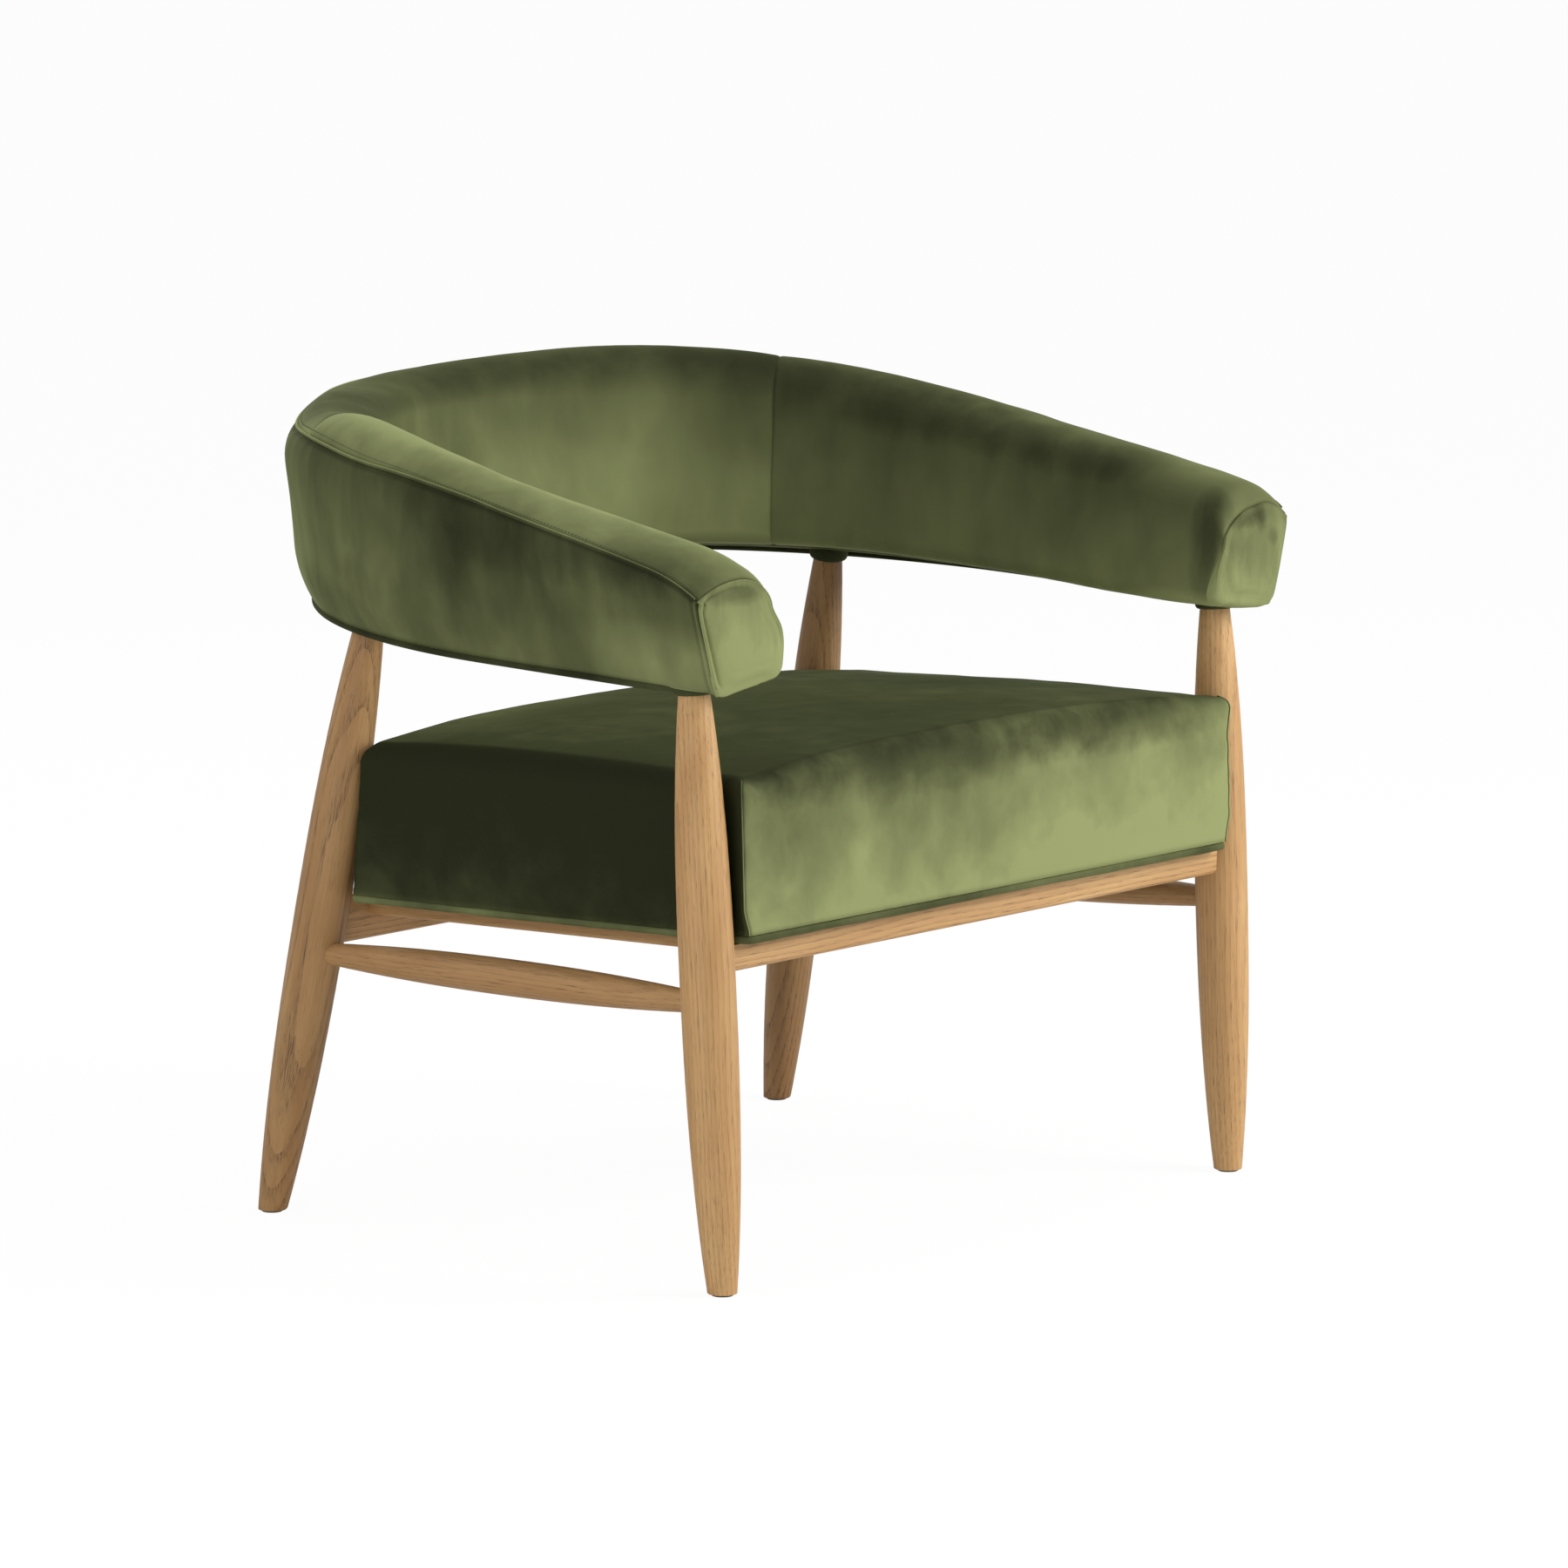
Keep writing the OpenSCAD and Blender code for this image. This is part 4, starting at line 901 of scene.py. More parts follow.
@dataclass
class Band:
    """The padded band with its covers, seams and piping."""

    form: BandForm
    covers: BandCovers
    cover_thickness: float = 1.4 * MM
    welt_radius: float = 1.6 * MM
    welt_up: float = 1.4 * MM
    welt_sunk: float = 0.7 * MM
    piping_radius: float = 3.2 * MM
    piping_in: float = 1.6 * MM
    piping_overlap: float = 0.6 * MM
    # The piping ends this far from the arm's end, and is tucked in and up there
    piping_end: float = 30.0 * MM
    piping_tuck_in: float = 5.0 * MM
    piping_tuck_up: float = 3.0 * MM
    cap_crown: float = 6.6 * MM
    cap_smoothing: int = 60
    # Rings of a cap's face in from its rounded edge, in mm
    cap_steps: tuple[float, ...] = (0.7, 1.4, 2.1, 2.8, 3.6, 4.6, 6.0, 8.0, 10.5, 13.5)
    end_hang: float = 3.0 * MM
    hang_length: float = 70.0 * MM
    bend_place: float = 630.0 * MM
    bend_length: float = 190.0 * MM
    bend_tuck: float = 4.0 * MM
    forward_length: float = 60.0 * MM
    edge_length: float = 40.0 * MM
    lift_length: float = 32.0 * MM
    lift_over: Marked = (("start", 0), ("low", 0), ("seam", 0.6), ("quarter", 1), ("crown", 0.6), ("roll", 0))
    flare_length: float = 110.0 * MM
    hem_tuck: Crease = Crease(1.8 * MM, 8.0 * MM)
    hem_tuck_length: float = 25.0 * MM
    inner_share: float = 0.85
    # Grooves along the top seam, the lower inner seam and the upright seams, and a dimple where these cross the crown
    seam_groove: Crease = Crease(2.4 * MM, 2.6 * MM)
    seam_creases: tuple[Crease, ...] = (Crease(0.8 * MM, 7.0 * MM), Crease(1.0 * MM, 1.6 * MM, past=-3.4 * MM))
    belly_crease: Crease = Crease(0.5 * MM, 1.8 * MM)
    upright_creases: tuple[Crease, ...] = (Crease(0.9 * MM, 1.5 * MM), Crease(0.4 * MM, 9.0 * MM))
    crown_dimple: Crease = Crease(1.0 * MM, 20.0 * MM)
    # Ridge and groove where the outer panel meets the left cap
    cap_creases: tuple[Crease, ...] = (
        Crease(-0.8 * MM, 2.6 * MM, past=3.0 * MM), Crease(1.3 * MM, 1.4 * MM, past=7.0 * MM),
    )
    top_gathers: Gathers = Gathers(0.4 * MM, 75.0, 1.7, 13.0 * MM, (1.0 * MM, 5.0 * MM))
    upright_gathers: Gathers = Gathers(0.35 * MM, 52.0, 4.4, 20.0 * MM, (1.0 * MM, 6.0 * MM))
    end_gathers: Gathers = Gathers(0.4 * MM, 60.0, 8.2, 16.0 * MM, (2.0 * MM, 7.0 * MM))
    end_pucker: Crease = Crease(0.7 * MM, 14.0 * MM, past=12.0 * MM)
    # Stations beside a seam in mm, and points over the face, top, crown, inside, lower roll and underside
    near_seam: tuple[float, ...] = (0.8, 1.6, 2.4, 3.2, 4.2, 5.5, 7.0, 9.0, 12.0, 16.0)
    columns: tuple[int, ...] = (26, 15, 15, 28, 13, 20)
    # Uneven stuffing: height, lumps per metre and seed of each layer
    stuffing: tuple[Triple, ...] = ((0.9 * MM, 7.0, 3.1), (0.4 * MM, 21.0, 9.7), (0.12 * MM, 60.0, 5.3))
    stations: np.ndarray = field(init=False)
    seam_depth: np.ndarray = field(init=False)
    hem_in: np.ndarray = field(init=False)
    points: np.ndarray = field(init=False)
    normals: np.ndarray = field(init=False)
    marks: dict[str, int] = field(init=False)

    def __post_init__(self) -> None:
        """Works out the band's surface once for all its panels."""
        self.stations = self.make_stations()
        # The top seam is shallow where it meets the right cap
        self.seam_depth = 1.0 - 0.7 * bell(self.stations, 16.0 * MM)
        self.points = self.make_section()
        self.normals = self.make_normals()
        self.points = self.points + self.normals * self.make_relief()[..., None]

    def make_stations(self) -> np.ndarray:
        """Lengths along the band where its section is drawn, close together at the ends and upright seams.

        Returns:
            The lengths from the right end to the left one.
        """
        even_step, least_step = 6.0 * MM, 0.7 * MM
        form = self.form
        near = np.array(self.near_seam) * MM
        even = np.arange(0.0, form.length / 2.0, even_step)
        seam = form.upright_seam
        extra = np.concatenate([[0.0, form.length / 2.0, seam], near, seam - near, seam + near])
        half = np.unique(np.round(np.concatenate([even, extra]), 6))
        keep = [half[0]]
        fixed = {0.0, round(seam, 6), round(form.length / 2.0, 6)}
        for value in half[1:]:
            if value - keep[-1] < least_step and value not in fixed:
                continue
            keep.append(value)
        half = np.array(keep)
        return np.concatenate([half, form.length - half[-2::-1]])

    def face_inward(
        self, face: np.ndarray, s: np.ndarray, end: np.ndarray, at_bend: np.ndarray, seam_in: np.ndarray
    ) -> np.ndarray:
        """How far in the outer face stands: it curls in at the hem round the back, and leans plainly at the arms.

        Args:
            face: shares of the height from the hem to the seam.
            s: shares of the way from the arm ends to the back.
            end: distances from the nearer arm end.
            at_bend: closeness to the bend, up to 1.
            seam_in: how far in the seam stands.

        Returns:
            Distances inward from the outline.
        """
        form = self.form
        curl = mix(form.curl_front, form.curl_back, s) * np.clip(1.0 - face / form.curl_share, 0.0, 1.0) ** 2
        curled = mix(form.lean_front, form.lean_back, s) * soft_part(1.0 - face / form.lean_share, 0.01) + curl
        curled = curled + seam_in * np.clip((face - form.lean_share) / (1.0 - form.lean_share), 0.0, 1.0) ** 2
        curled = curled - (form.face_full - form.bend_hollow * at_bend) * np.sin(math.pi * face)
        leaning = form.end_lean * soft_part(1.0 - face / form.end_lean_share, 0.02) + seam_in * face**4
        return mix(curled, leaning, 1.0 - fade(end, *form.end_lean_fades))

    def make_profile(self, p: np.ndarray, end: np.ndarray) -> tuple[np.ndarray, np.ndarray]:
        """The plain section at each station, from the outer hem over the crown, down the inside and back.

        It also sets the marks, which are the column numbers of places round the section.

        Args:
            p: lengths along the band, one in each row.
            end: distances from the nearer arm end.

        Returns:
            Distances inward from the outline, and heights.
        """
        form = self.form
        y = form.outline(self.stations)[0][:, 1][:, None]
        s = form.depth_share(y)
        seam_shift, rise = curve_through(p, form.seam_shift), curve_through(p, form.crown_shift)
        low, high = form.hem(y) - self.end_hang * bell(end, self.hang_length), form.seam(y) + seam_shift
        belly = form.belly(y) + curve_through(p, form.belly_shift)
        crown = mix(form.crown_front, form.crown_back, s) - form.crown_dip * 4.0 * s * (1.0 - s) + rise - seam_shift
        crown_in = mix(form.crown_in_front, form.crown_in_back, s)
        at_bend = bell(end - self.bend_place, self.bend_length)
        seam_in = form.seam_in_back * s + self.bend_tuck * at_bend
        roll_in = mix(form.roll_in_front, form.roll_in_back, s)
        roll_height = mix(form.roll_height_front, form.roll_height_back, s) + rise
        near = np.array(self.near_seam)[None, :] * MM
        shares = [np.linspace(0.0, 1.0, count)[None, :] for count in self.columns]

        far_share = (high - near[:, -1:] - low) / (high - low)
        face = [shares[0][:, :-1] * far_share, 1.0 - near[:, ::-1] / (high - low), np.ones_like(s)]
        face = np.concatenate(face, axis=1)
        face_in = self.face_inward(face, s, end, at_bend, seam_in)
        parts = [(face_in, mix(low, high, face))]

        width = crown_in - seam_in
        top = np.concatenate([near / width, mix(near[:, -1:] / width, 1.0, shares[1][:, 1:])], axis=1)
        parts.append((mix(seam_in, crown_in, top), high + crown * (1.0 - (1.0 - top) ** 2)))

        turn = 0.5 * math.pi * shares[2][:, 1:]
        parts.append((mix(crown_in, roll_in, np.sin(turn)), high + crown - roll_height * (1.0 - np.cos(turn))))

        share = shares[3][:, 1:]
        belly_top = belly + form.belly_radius
        inner = mix(roll_in, form.thickness, fade(share, 0.0, 1.0)) + form.belly_full * np.sin(math.pi * share) ** 2
        parts.append((inner, mix(high + crown - roll_height, belly_top, share)))

        turn = 0.5 * math.pi * shares[4][:, 1:]
        corner_in = form.thickness - form.belly_radius * (1.0 - np.cos(turn))
        parts.append((corner_in, belly_top - form.belly_radius * np.sin(turn)))

        share = shares[5][:, 1:]
        under = mix(form.thickness - form.belly_radius, face_in[:, :1], share)
        parts.append((under, mix(belly, low, share) - form.under_full * np.sin(math.pi * share)))

        face_end, top_end, crown_end, inside_end, corner_end, under_end = np.cumsum([a.shape[1] for a, _ in parts])
        self.marks = {
            "start": 0,
            "low": face_end // 3,
            "seam": face_end - 1,
            "quarter": int(mix(face_end, top_end, 0.62)),
            "crown": top_end - 1,
            "turn": (top_end + crown_end) // 2,
            "roll": crown_end - 1,
            "hollow": int(mix(crown_end, inside_end, 0.3)),
            "inner": (crown_end + inside_end) // 2,
            "belly_top": inside_end - 1,
            "corner": corner_end - 1,
            "belly": corner_end + 2,
            "under": (corner_end + under_end) // 2,
            "hem": under_end - 1,
        }
        inward = np.concatenate([np.broadcast_to(a, (len(s), a.shape[1])) for a, _ in parts], axis=1)
        return inward, np.concatenate([b for _, b in parts], axis=1)

    def make_section(self) -> np.ndarray:
        """Points of the padded section at each station, with both arm ends drawn in and rounded.

        Returns:
            The grid of points, with one station in each row.
        """
        form = self.form
        p = self.stations[:, None]
        end = np.minimum(p, form.length - p)
        inward, height = self.make_profile(p, end)
        self.hem_in = inward[:, 0].copy()
        steps = np.hypot(np.diff(inward, axis=1), np.diff(height, axis=1))
        arc = np.concatenate([np.zeros_like(p), np.cumsum(steps, axis=1)], axis=1)
        forward = np.zeros_like(p)
        for side, past in ((Side.RIGHT, p), (Side.LEFT, form.length - p)):
            shape = ARM_ENDS[side]
            forward = forward + shape.forward * np.clip(1.0 - past / self.forward_length, 0.0, 1.0) ** 2
            edge = self.around(arc, shape.edge)
            forward = forward - edge * np.clip(1.0 - past / self.edge_length, 0.0, 1.0) ** 2
            height = height + shape.lift / MM * self.around(arc, self.lift_over) * bell(past, self.lift_length)
            share = np.clip(1.0 - past / shape.reach, 0.0, 1.0)
            drawn = 1.0 - np.sqrt(1.0 - share**2)
            inward = inward + drawn * self.around(arc, tuple((name, pull) for name, pull, _ in shape.pulls))
            height = height + drawn * self.around(arc, tuple((name, pull) for name, _, pull in shape.pulls))
            inward = inward + fade(-past, -self.flare_length, 12.0 * MM) * self.around(arc, shape.flare)
        from_hem = np.minimum(arc, arc[:, -1:] - arc)
        tuck = self.hem_tuck.at(from_hem) * bell(end, self.hem_tuck_length)
        points = form.place(p, inward + tuck, height + tuck)
        points[..., 1] -= forward
        return points

    def around(self, arc: np.ndarray, table: Marked) -> np.ndarray:
        """Values given at marked places round the arm end's section, for every column.

        Args:
            arc: distances over the section at each station.
            table: marks in order round the section, each with its value in millimetres.

        Returns:
            One row of values in metres.
        """
        names, values = zip(*table)
        places = [arc[0, self.marks[name]] for name in names]
        row = np.interp(arc[0], places, np.array(values, dtype=float) * MM)
        padded = np.concatenate([row[-4:-1], row, row[1:4]])
        return np.convolve(padded, np.ones(7) / 7.0, mode="valid")[None, :]

    def make_normals(self) -> np.ndarray:
        """Outward directions of the plain surface.

        Returns:
            One direction for each point.
        """
        along = np.gradient(self.points, axis=0)
        across = np.gradient(self.points, axis=1)
        normal = np.cross(across, along)
        normal /= np.maximum(np.linalg.norm(normal, axis=-1, keepdims=True), 1e-12)
        middle = self.points.mean(axis=1, keepdims=True)
        if np.sum((self.points - middle) * normal) < 0.0:
            normal = -normal
        return normal

    def arc_from(self, column: int) -> np.ndarray:
        """Distance over the cloth from one column of the section, negative before it.

        Args:
            column: number of the column.

        Returns:
            One distance for each point.
        """
        steps = np.linalg.norm(np.diff(self.points, axis=1), axis=-1)
        arc = np.concatenate([np.zeros((len(steps), 1)), np.cumsum(steps, axis=1)], axis=1)
        return arc - arc[:, column : column + 1]

    def make_relief(self) -> np.ndarray:
        """How far the cloth stands off the plain surface, from its seams, puckers and uneven stuffing.

        Returns:
            One height for each point.
        """
        form, marks, pts = self.form, self.marks, self.points
        columns = np.arange(pts.shape[1])[None, :]
        p = self.stations[:, None]
        from_seam, from_belly = self.arc_from(marks["seam"]), self.arc_from(marks["belly"])
        from_left, end = form.length - p, np.minimum(p, form.length - p)
        upright = np.minimum(np.abs(p - form.upright_seam), np.abs(form.length - form.upright_seam - p))
        upright = upright * self.inner_share
        on_inside = fade(columns, marks["seam"] - 1, marks["seam"] + 2) * (columns <= marks["belly"])
        on_outside = columns < marks["seam"]

        relief = lumps(pts, *self.stuffing) * fade(end, 0.0, 25.0 * MM) * fade(np.abs(from_seam), 0.0, 14.0 * MM)
        # Grooves of the top seam, of the lower inner seam and of the upright seams
        grooves = self.seam_groove.at(from_seam) + sum(crease.at(from_seam) for crease in self.seam_creases)
        relief -= grooves * self.seam_depth[:, None]
        relief -= self.belly_crease.at(from_belly)
        relief -= on_inside * sum(crease.at(upright) for crease in self.upright_creases)
        relief -= on_inside * self.crown_dimple.at(upright) * bell(columns - marks["crown"], 16.0)
        relief -= on_outside * sum(crease.at(from_left) for crease in self.cap_creases)
        # Gathers along the top seam, the upright seams and the arm ends
        relief += self.top_gathers.at(self.on_line(p), from_seam)
        relief += on_inside * self.upright_gathers.at(pts * np.array([0.0, 0.0, 1.0]), upright)
        relief += on_inside * self.end_gathers.at(self.on_line(from_seam), end)
        pucker = self.end_pucker.at(end) * cloudy(pts * np.array([1.0, 0.35, 1.0]), 48.0, 6.6)
        relief += pucker * bell(from_belly + 6.0 * MM, 16.0 * MM)
        return relief

    @staticmethod
    def on_line(x: np.ndarray) -> np.ndarray:
        """Points on one line, over which noise changes with x alone."""
        return np.stack([x, 0.0 * x, 0.0 * x], axis=-1)

    def panel(self, name: str, rows: tuple[int, int], cols: tuple[int, int], cover: Material) -> Piece:
        """One panel of the cover, with the thickness of the cloth on its inside.

        Args:
            name: name of the piece.
            rows: first and last station.
            cols: first and last column of the section.
            cover: finish of the cloth.

        Returns:
            The panel as an object.
        """
        part = np.s_[rows[0] : rows[1] + 1, cols[0] : cols[1] + 1]
        outside = self.points[part]
        inside = outside - self.normals[part] * self.cover_thickness
        high, wide = outside.shape[:2]
        half = high * wide
        front = grid_faces(high, wide)
        back = [tuple(half + n for n in reversed(quad)) for quad in front]
        rim = [*range(wide), *(i * wide + wide - 1 for i in range(1, high))]
        rim += [*((high - 1) * wide + j for j in range(wide - 2, -1, -1)), *(i * wide for i in range(high - 2, 0, -1))]
        edge = [(a, b, half + b, half + a) for a, b in zip(rim, rim[1:] + rim[:1])]
        points = np.concatenate([outside.reshape(-1, 3), inside.reshape(-1, 3)])
        return make_mesh(name, points, front + back + edge, cover)

    def column_of(self, p: float) -> int:
        """Number of the station at a length along the band."""
        return int(np.argmin(np.abs(self.stations - p)))

    def build_panels(self) -> None:
        """Makes the outer panel, the three joined panels over the top and inside, and the underside."""
        marks, last = self.marks, len(self.stations) - 1
        right = self.column_of(self.form.upright_seam)
        left = self.column_of(self.form.length - self.form.upright_seam)
        top = (marks["seam"], marks["belly"])
        covers = self.covers
        outer = self.panel("band_outer_panel", (0, last), (0, marks["seam"]), covers.outer)
        dress(outer, "velvet", "band_cover_outer")
        for name, rows, cover, nodes in (
            ("band_right_panel", (0, right), covers.right, ("band_cover_right",)),
            ("band_back_panel", (right, left), covers.back, ("band_cover_back", "band_foam")),
            ("band_left_panel", (left, last), covers.left, ("band_cover_left",)),
        ):
            dress(self.panel(name, rows, top, cover), "velvet", *nodes)
        under = self.panel("band_under_panel", (0, last), (marks["belly"], marks["hem"]), covers.under)
        dress(under, "velvet", "band_cover_under")

    def cap_rings(self, side: Side) -> np.ndarray:
        """Rings of an arm's cap, from its rim round the rounded edge and over the stuffed face.

        Args:
            side: side of the arm.

        Returns:
            The rings of points.
        """
        edge_rings, face_rings, least_edge = 7, 16, 0.4 * MM
        marks, shape, row = self.marks, ARM_ENDS[side], 0 if side is Side.RIGHT else -1
        end_y = self.form.arm_end_y - shape.forward
        loop = self.points[row, :-1]
        middle = np.array([loop[:, 0].mean(), 0.0, loop[:, 2].mean()])
        spoke = (loop - middle) * np.array([1.0, 0.0, 1.0])
        reach = np.linalg.norm(spoke, axis=1)
        even = spoke
        for _ in range(self.cap_smoothing):
            even = 0.5 * even + 0.25 * (np.roll(even, 1, axis=0) + np.roll(even, -1, axis=0))
        edge = np.maximum(loop[:, 1] - end_y, least_edge)
        columns = np.arange(len(loop))
        grooved = fade(-columns, -marks["belly_top"] + 4.0, -marks["inner"]) * fade(columns, 0.0, 3.0)
        rings, depths = [], []
        # Round the edge
        for g in np.radians(np.linspace(0.0, 90.0, edge_rings)):
            ring = middle + spoke * (1.0 - edge * (1.0 - math.cos(g)) / reach)[:, None]
            ring[:, 1] = end_y + edge * (1.0 - math.sin(g))
            rings.append(ring)
            depths.append(0.0)
        flat_share = 1.0 - edge / reach
        # Over the outer part of the face, with the groove beside its seam
        for d in np.array(self.cap_steps) * MM:
            share = flat_share - d / reach
            ring = middle + mix(spoke, even, fade(d, 0.0, 10.0 * MM)) * share[:, None]
            ring[:, 1] = self.crowned(end_y, share / flat_share) + grooved * shape.groove.at(d)
            rings.append(ring)
            depths.append(d)
        last_share = flat_share - depths[-1] / reach
        # On to the middle
        for f in np.linspace(1.0, 0.04, face_rings)[1:]:
            ring = middle + even * (last_share * f)[:, None]
            ring[:, 1] = self.crowned(end_y, last_share * f / flat_share)
            rings.append(ring)
            depths.append((1.0 - f) * reach.mean())
        rings, depths = np.array(rings), np.array(depths)[:, None]
        # The crown follows the averaged outline, and the stuffing is uneven
        out = np.hypot(rings[..., 0] - middle[0], rings[..., 2] - middle[2]) / self.mean_reach(spoke, reach)
        round_y = self.crowned(end_y, np.minimum(out, 1.1))
        rings[..., 1] = mix(rings[..., 1], round_y, fade(depths, 2.8 * MM, 10.0 * MM))
        stuffing = lumps(rings, (0.8 * MM, 17.0, 2.0 + row), (0.35 * MM, 42.0, 6.0))
        rings[..., 1] += fade(depths, 2.0 * MM, 14.0 * MM) * stuffing
        return rings

    def crowned(self, end_y: float, share: np.ndarray) -> np.ndarray:
        """Place of the crowned face of a cap, at shares of the way from its middle to its edge."""
        return end_y - self.cap_crown * (1.0 - share**3.4)

    @staticmethod
    def mean_reach(spoke: np.ndarray, reach: np.ndarray) -> np.ndarray:
        """Lengths of the spokes of a cap, each averaged with those that point nearly the same way.

        Args:
            spoke: the spokes from the middle of the cap.
            reach: their lengths.

        Returns:
            The averaged lengths.
        """
        angle = np.arctan2(spoke[:, 2], spoke[:, 0])
        apart = np.angle(np.exp(1j * (angle[:, None] - angle[None, :])))
        width = np.abs(np.angle(np.exp(1j * (np.roll(angle, -1) - np.roll(angle, 1)))))
        beside = bell(apart, 0.4) * width[None, :]
        return (beside @ reach) / beside.sum(axis=1)

    def build_caps(self) -> None:
        """Makes the sewn end panel of each arm, with its fine welt."""
        for side in Side:
            name, face = side.name.lower(), self.cap_rings(side)
            rows, count = face.shape[:2]
            total = rows * count
            front = grid_faces(rows, count, closed=True) + [tuple(range(total - count, total))]
            back = [tuple(total + n for n in reversed(f)) for f in front]
            rim = [(j, (j + 1) % count, total + (j + 1) % count, total + j) for j in range(count)]
            inside = face + np.array([0.0, self.cover_thickness, 0.0])
            points = np.concatenate([face.reshape(-1, 3), inside.reshape(-1, 3)])
            cap = make_mesh(f"arm_cap_{name}_panel", points, front + back + rim, self.covers.cap)
            dress(cap, "velvet", f"arm_cap_{name}")
            self.build_cap_welt(name, face, ARM_ENDS[side].edge_welt)

    def build_cap_welt(self, name: str, face: np.ndarray, edge_radius: float) -> None:
        """Lays the fine welt up the outer edge of the cap, over its top and down into the inner edge.

        Args:
            name: left or right.
            face: rings of the cap, from its rim inward.
            edge_radius: radius of the welt up the outer edge, or 0 for none there.
        """
        marks = self.marks
        columns = np.arange(3 if edge_radius else marks["crown"], marks["belly_top"])
        places = [marks[place] for place in ("start", "seam", "quarter", "roll", "inner", "belly_top")]
        radius = np.interp(columns, places, np.array([0.0, 0.0, 1.0, 1.0, 0.7, 0.2]) * MM)
        radius *= 1.0 if edge_radius else fade(columns, columns[0] - 2.0, columns[0] + 7.0)
        radius += np.interp(columns, places, (edge_radius, edge_radius, 0.0, 0.0, 0.0, 0.0))
        at_edge = np.interp(columns, places, (1.0, 1.0, 0.25, 0.25, 0.4, 0.6))[:, None]
        path = mix(face[2, columns], face[4, columns], at_edge)
        path[:, 1] -= 0.25 * radius
        keep = np.r_[True, np.linalg.norm(np.diff(path, axis=0), axis=1) > 0.9 * MM]
        dress(tube(f"arm_cap_{name}_welt", path[keep], radius[keep], self.covers.cap, sides=10), "velvet")

    def build_seams(self) -> None:
        """Makes the fine welt and stitching of the top seam, and the piping under the hem."""
        form, seam, covers = self.form, self.marks["seam"], self.covers
        depth = self.seam_groove.depth * self.seam_depth[:, None]
        up = self.points[:, seam + 3] - self.points[:, seam]
        up /= np.linalg.norm(up, axis=1, keepdims=True)
        path = self.points[:, seam] + up * self.welt_up + self.normals[:, seam] * (depth - self.welt_sunk)
        dress(tube("band_top_welt", path[4:-4], self.welt_radius, covers.left, sides=10), "velvet", "band_seam_welt")
        line = self.points[:, seam + 6]
        dress(stitches("band_top_stitches", line[6:-6], self.normals[6:-6, seam + 6], covers.thread), "velvet_trim")
        p = self.stations
        y = form.outline(p)[0][:, 1]
        end = np.minimum(p, form.length - p)
        tuck = bell(end - self.piping_end, 22.0 * MM)
        below = form.hem(y) - self.piping_radius + self.piping_overlap + self.piping_tuck_up * tuck
        inward = self.hem_in + self.piping_in + self.piping_tuck_in * tuck
        path = form.place(p, inward, below)[end >= self.piping_end]
        piping = tube("band_hem_piping", path[::2], self.piping_radius, covers.trim, sides=14)
        dress(piping, "velvet_trim", "band_piping")

    def build(self) -> None:
        """Makes every piece of the band's cover."""
        self.build_panels()
        self.build_caps()
        self.build_seams()


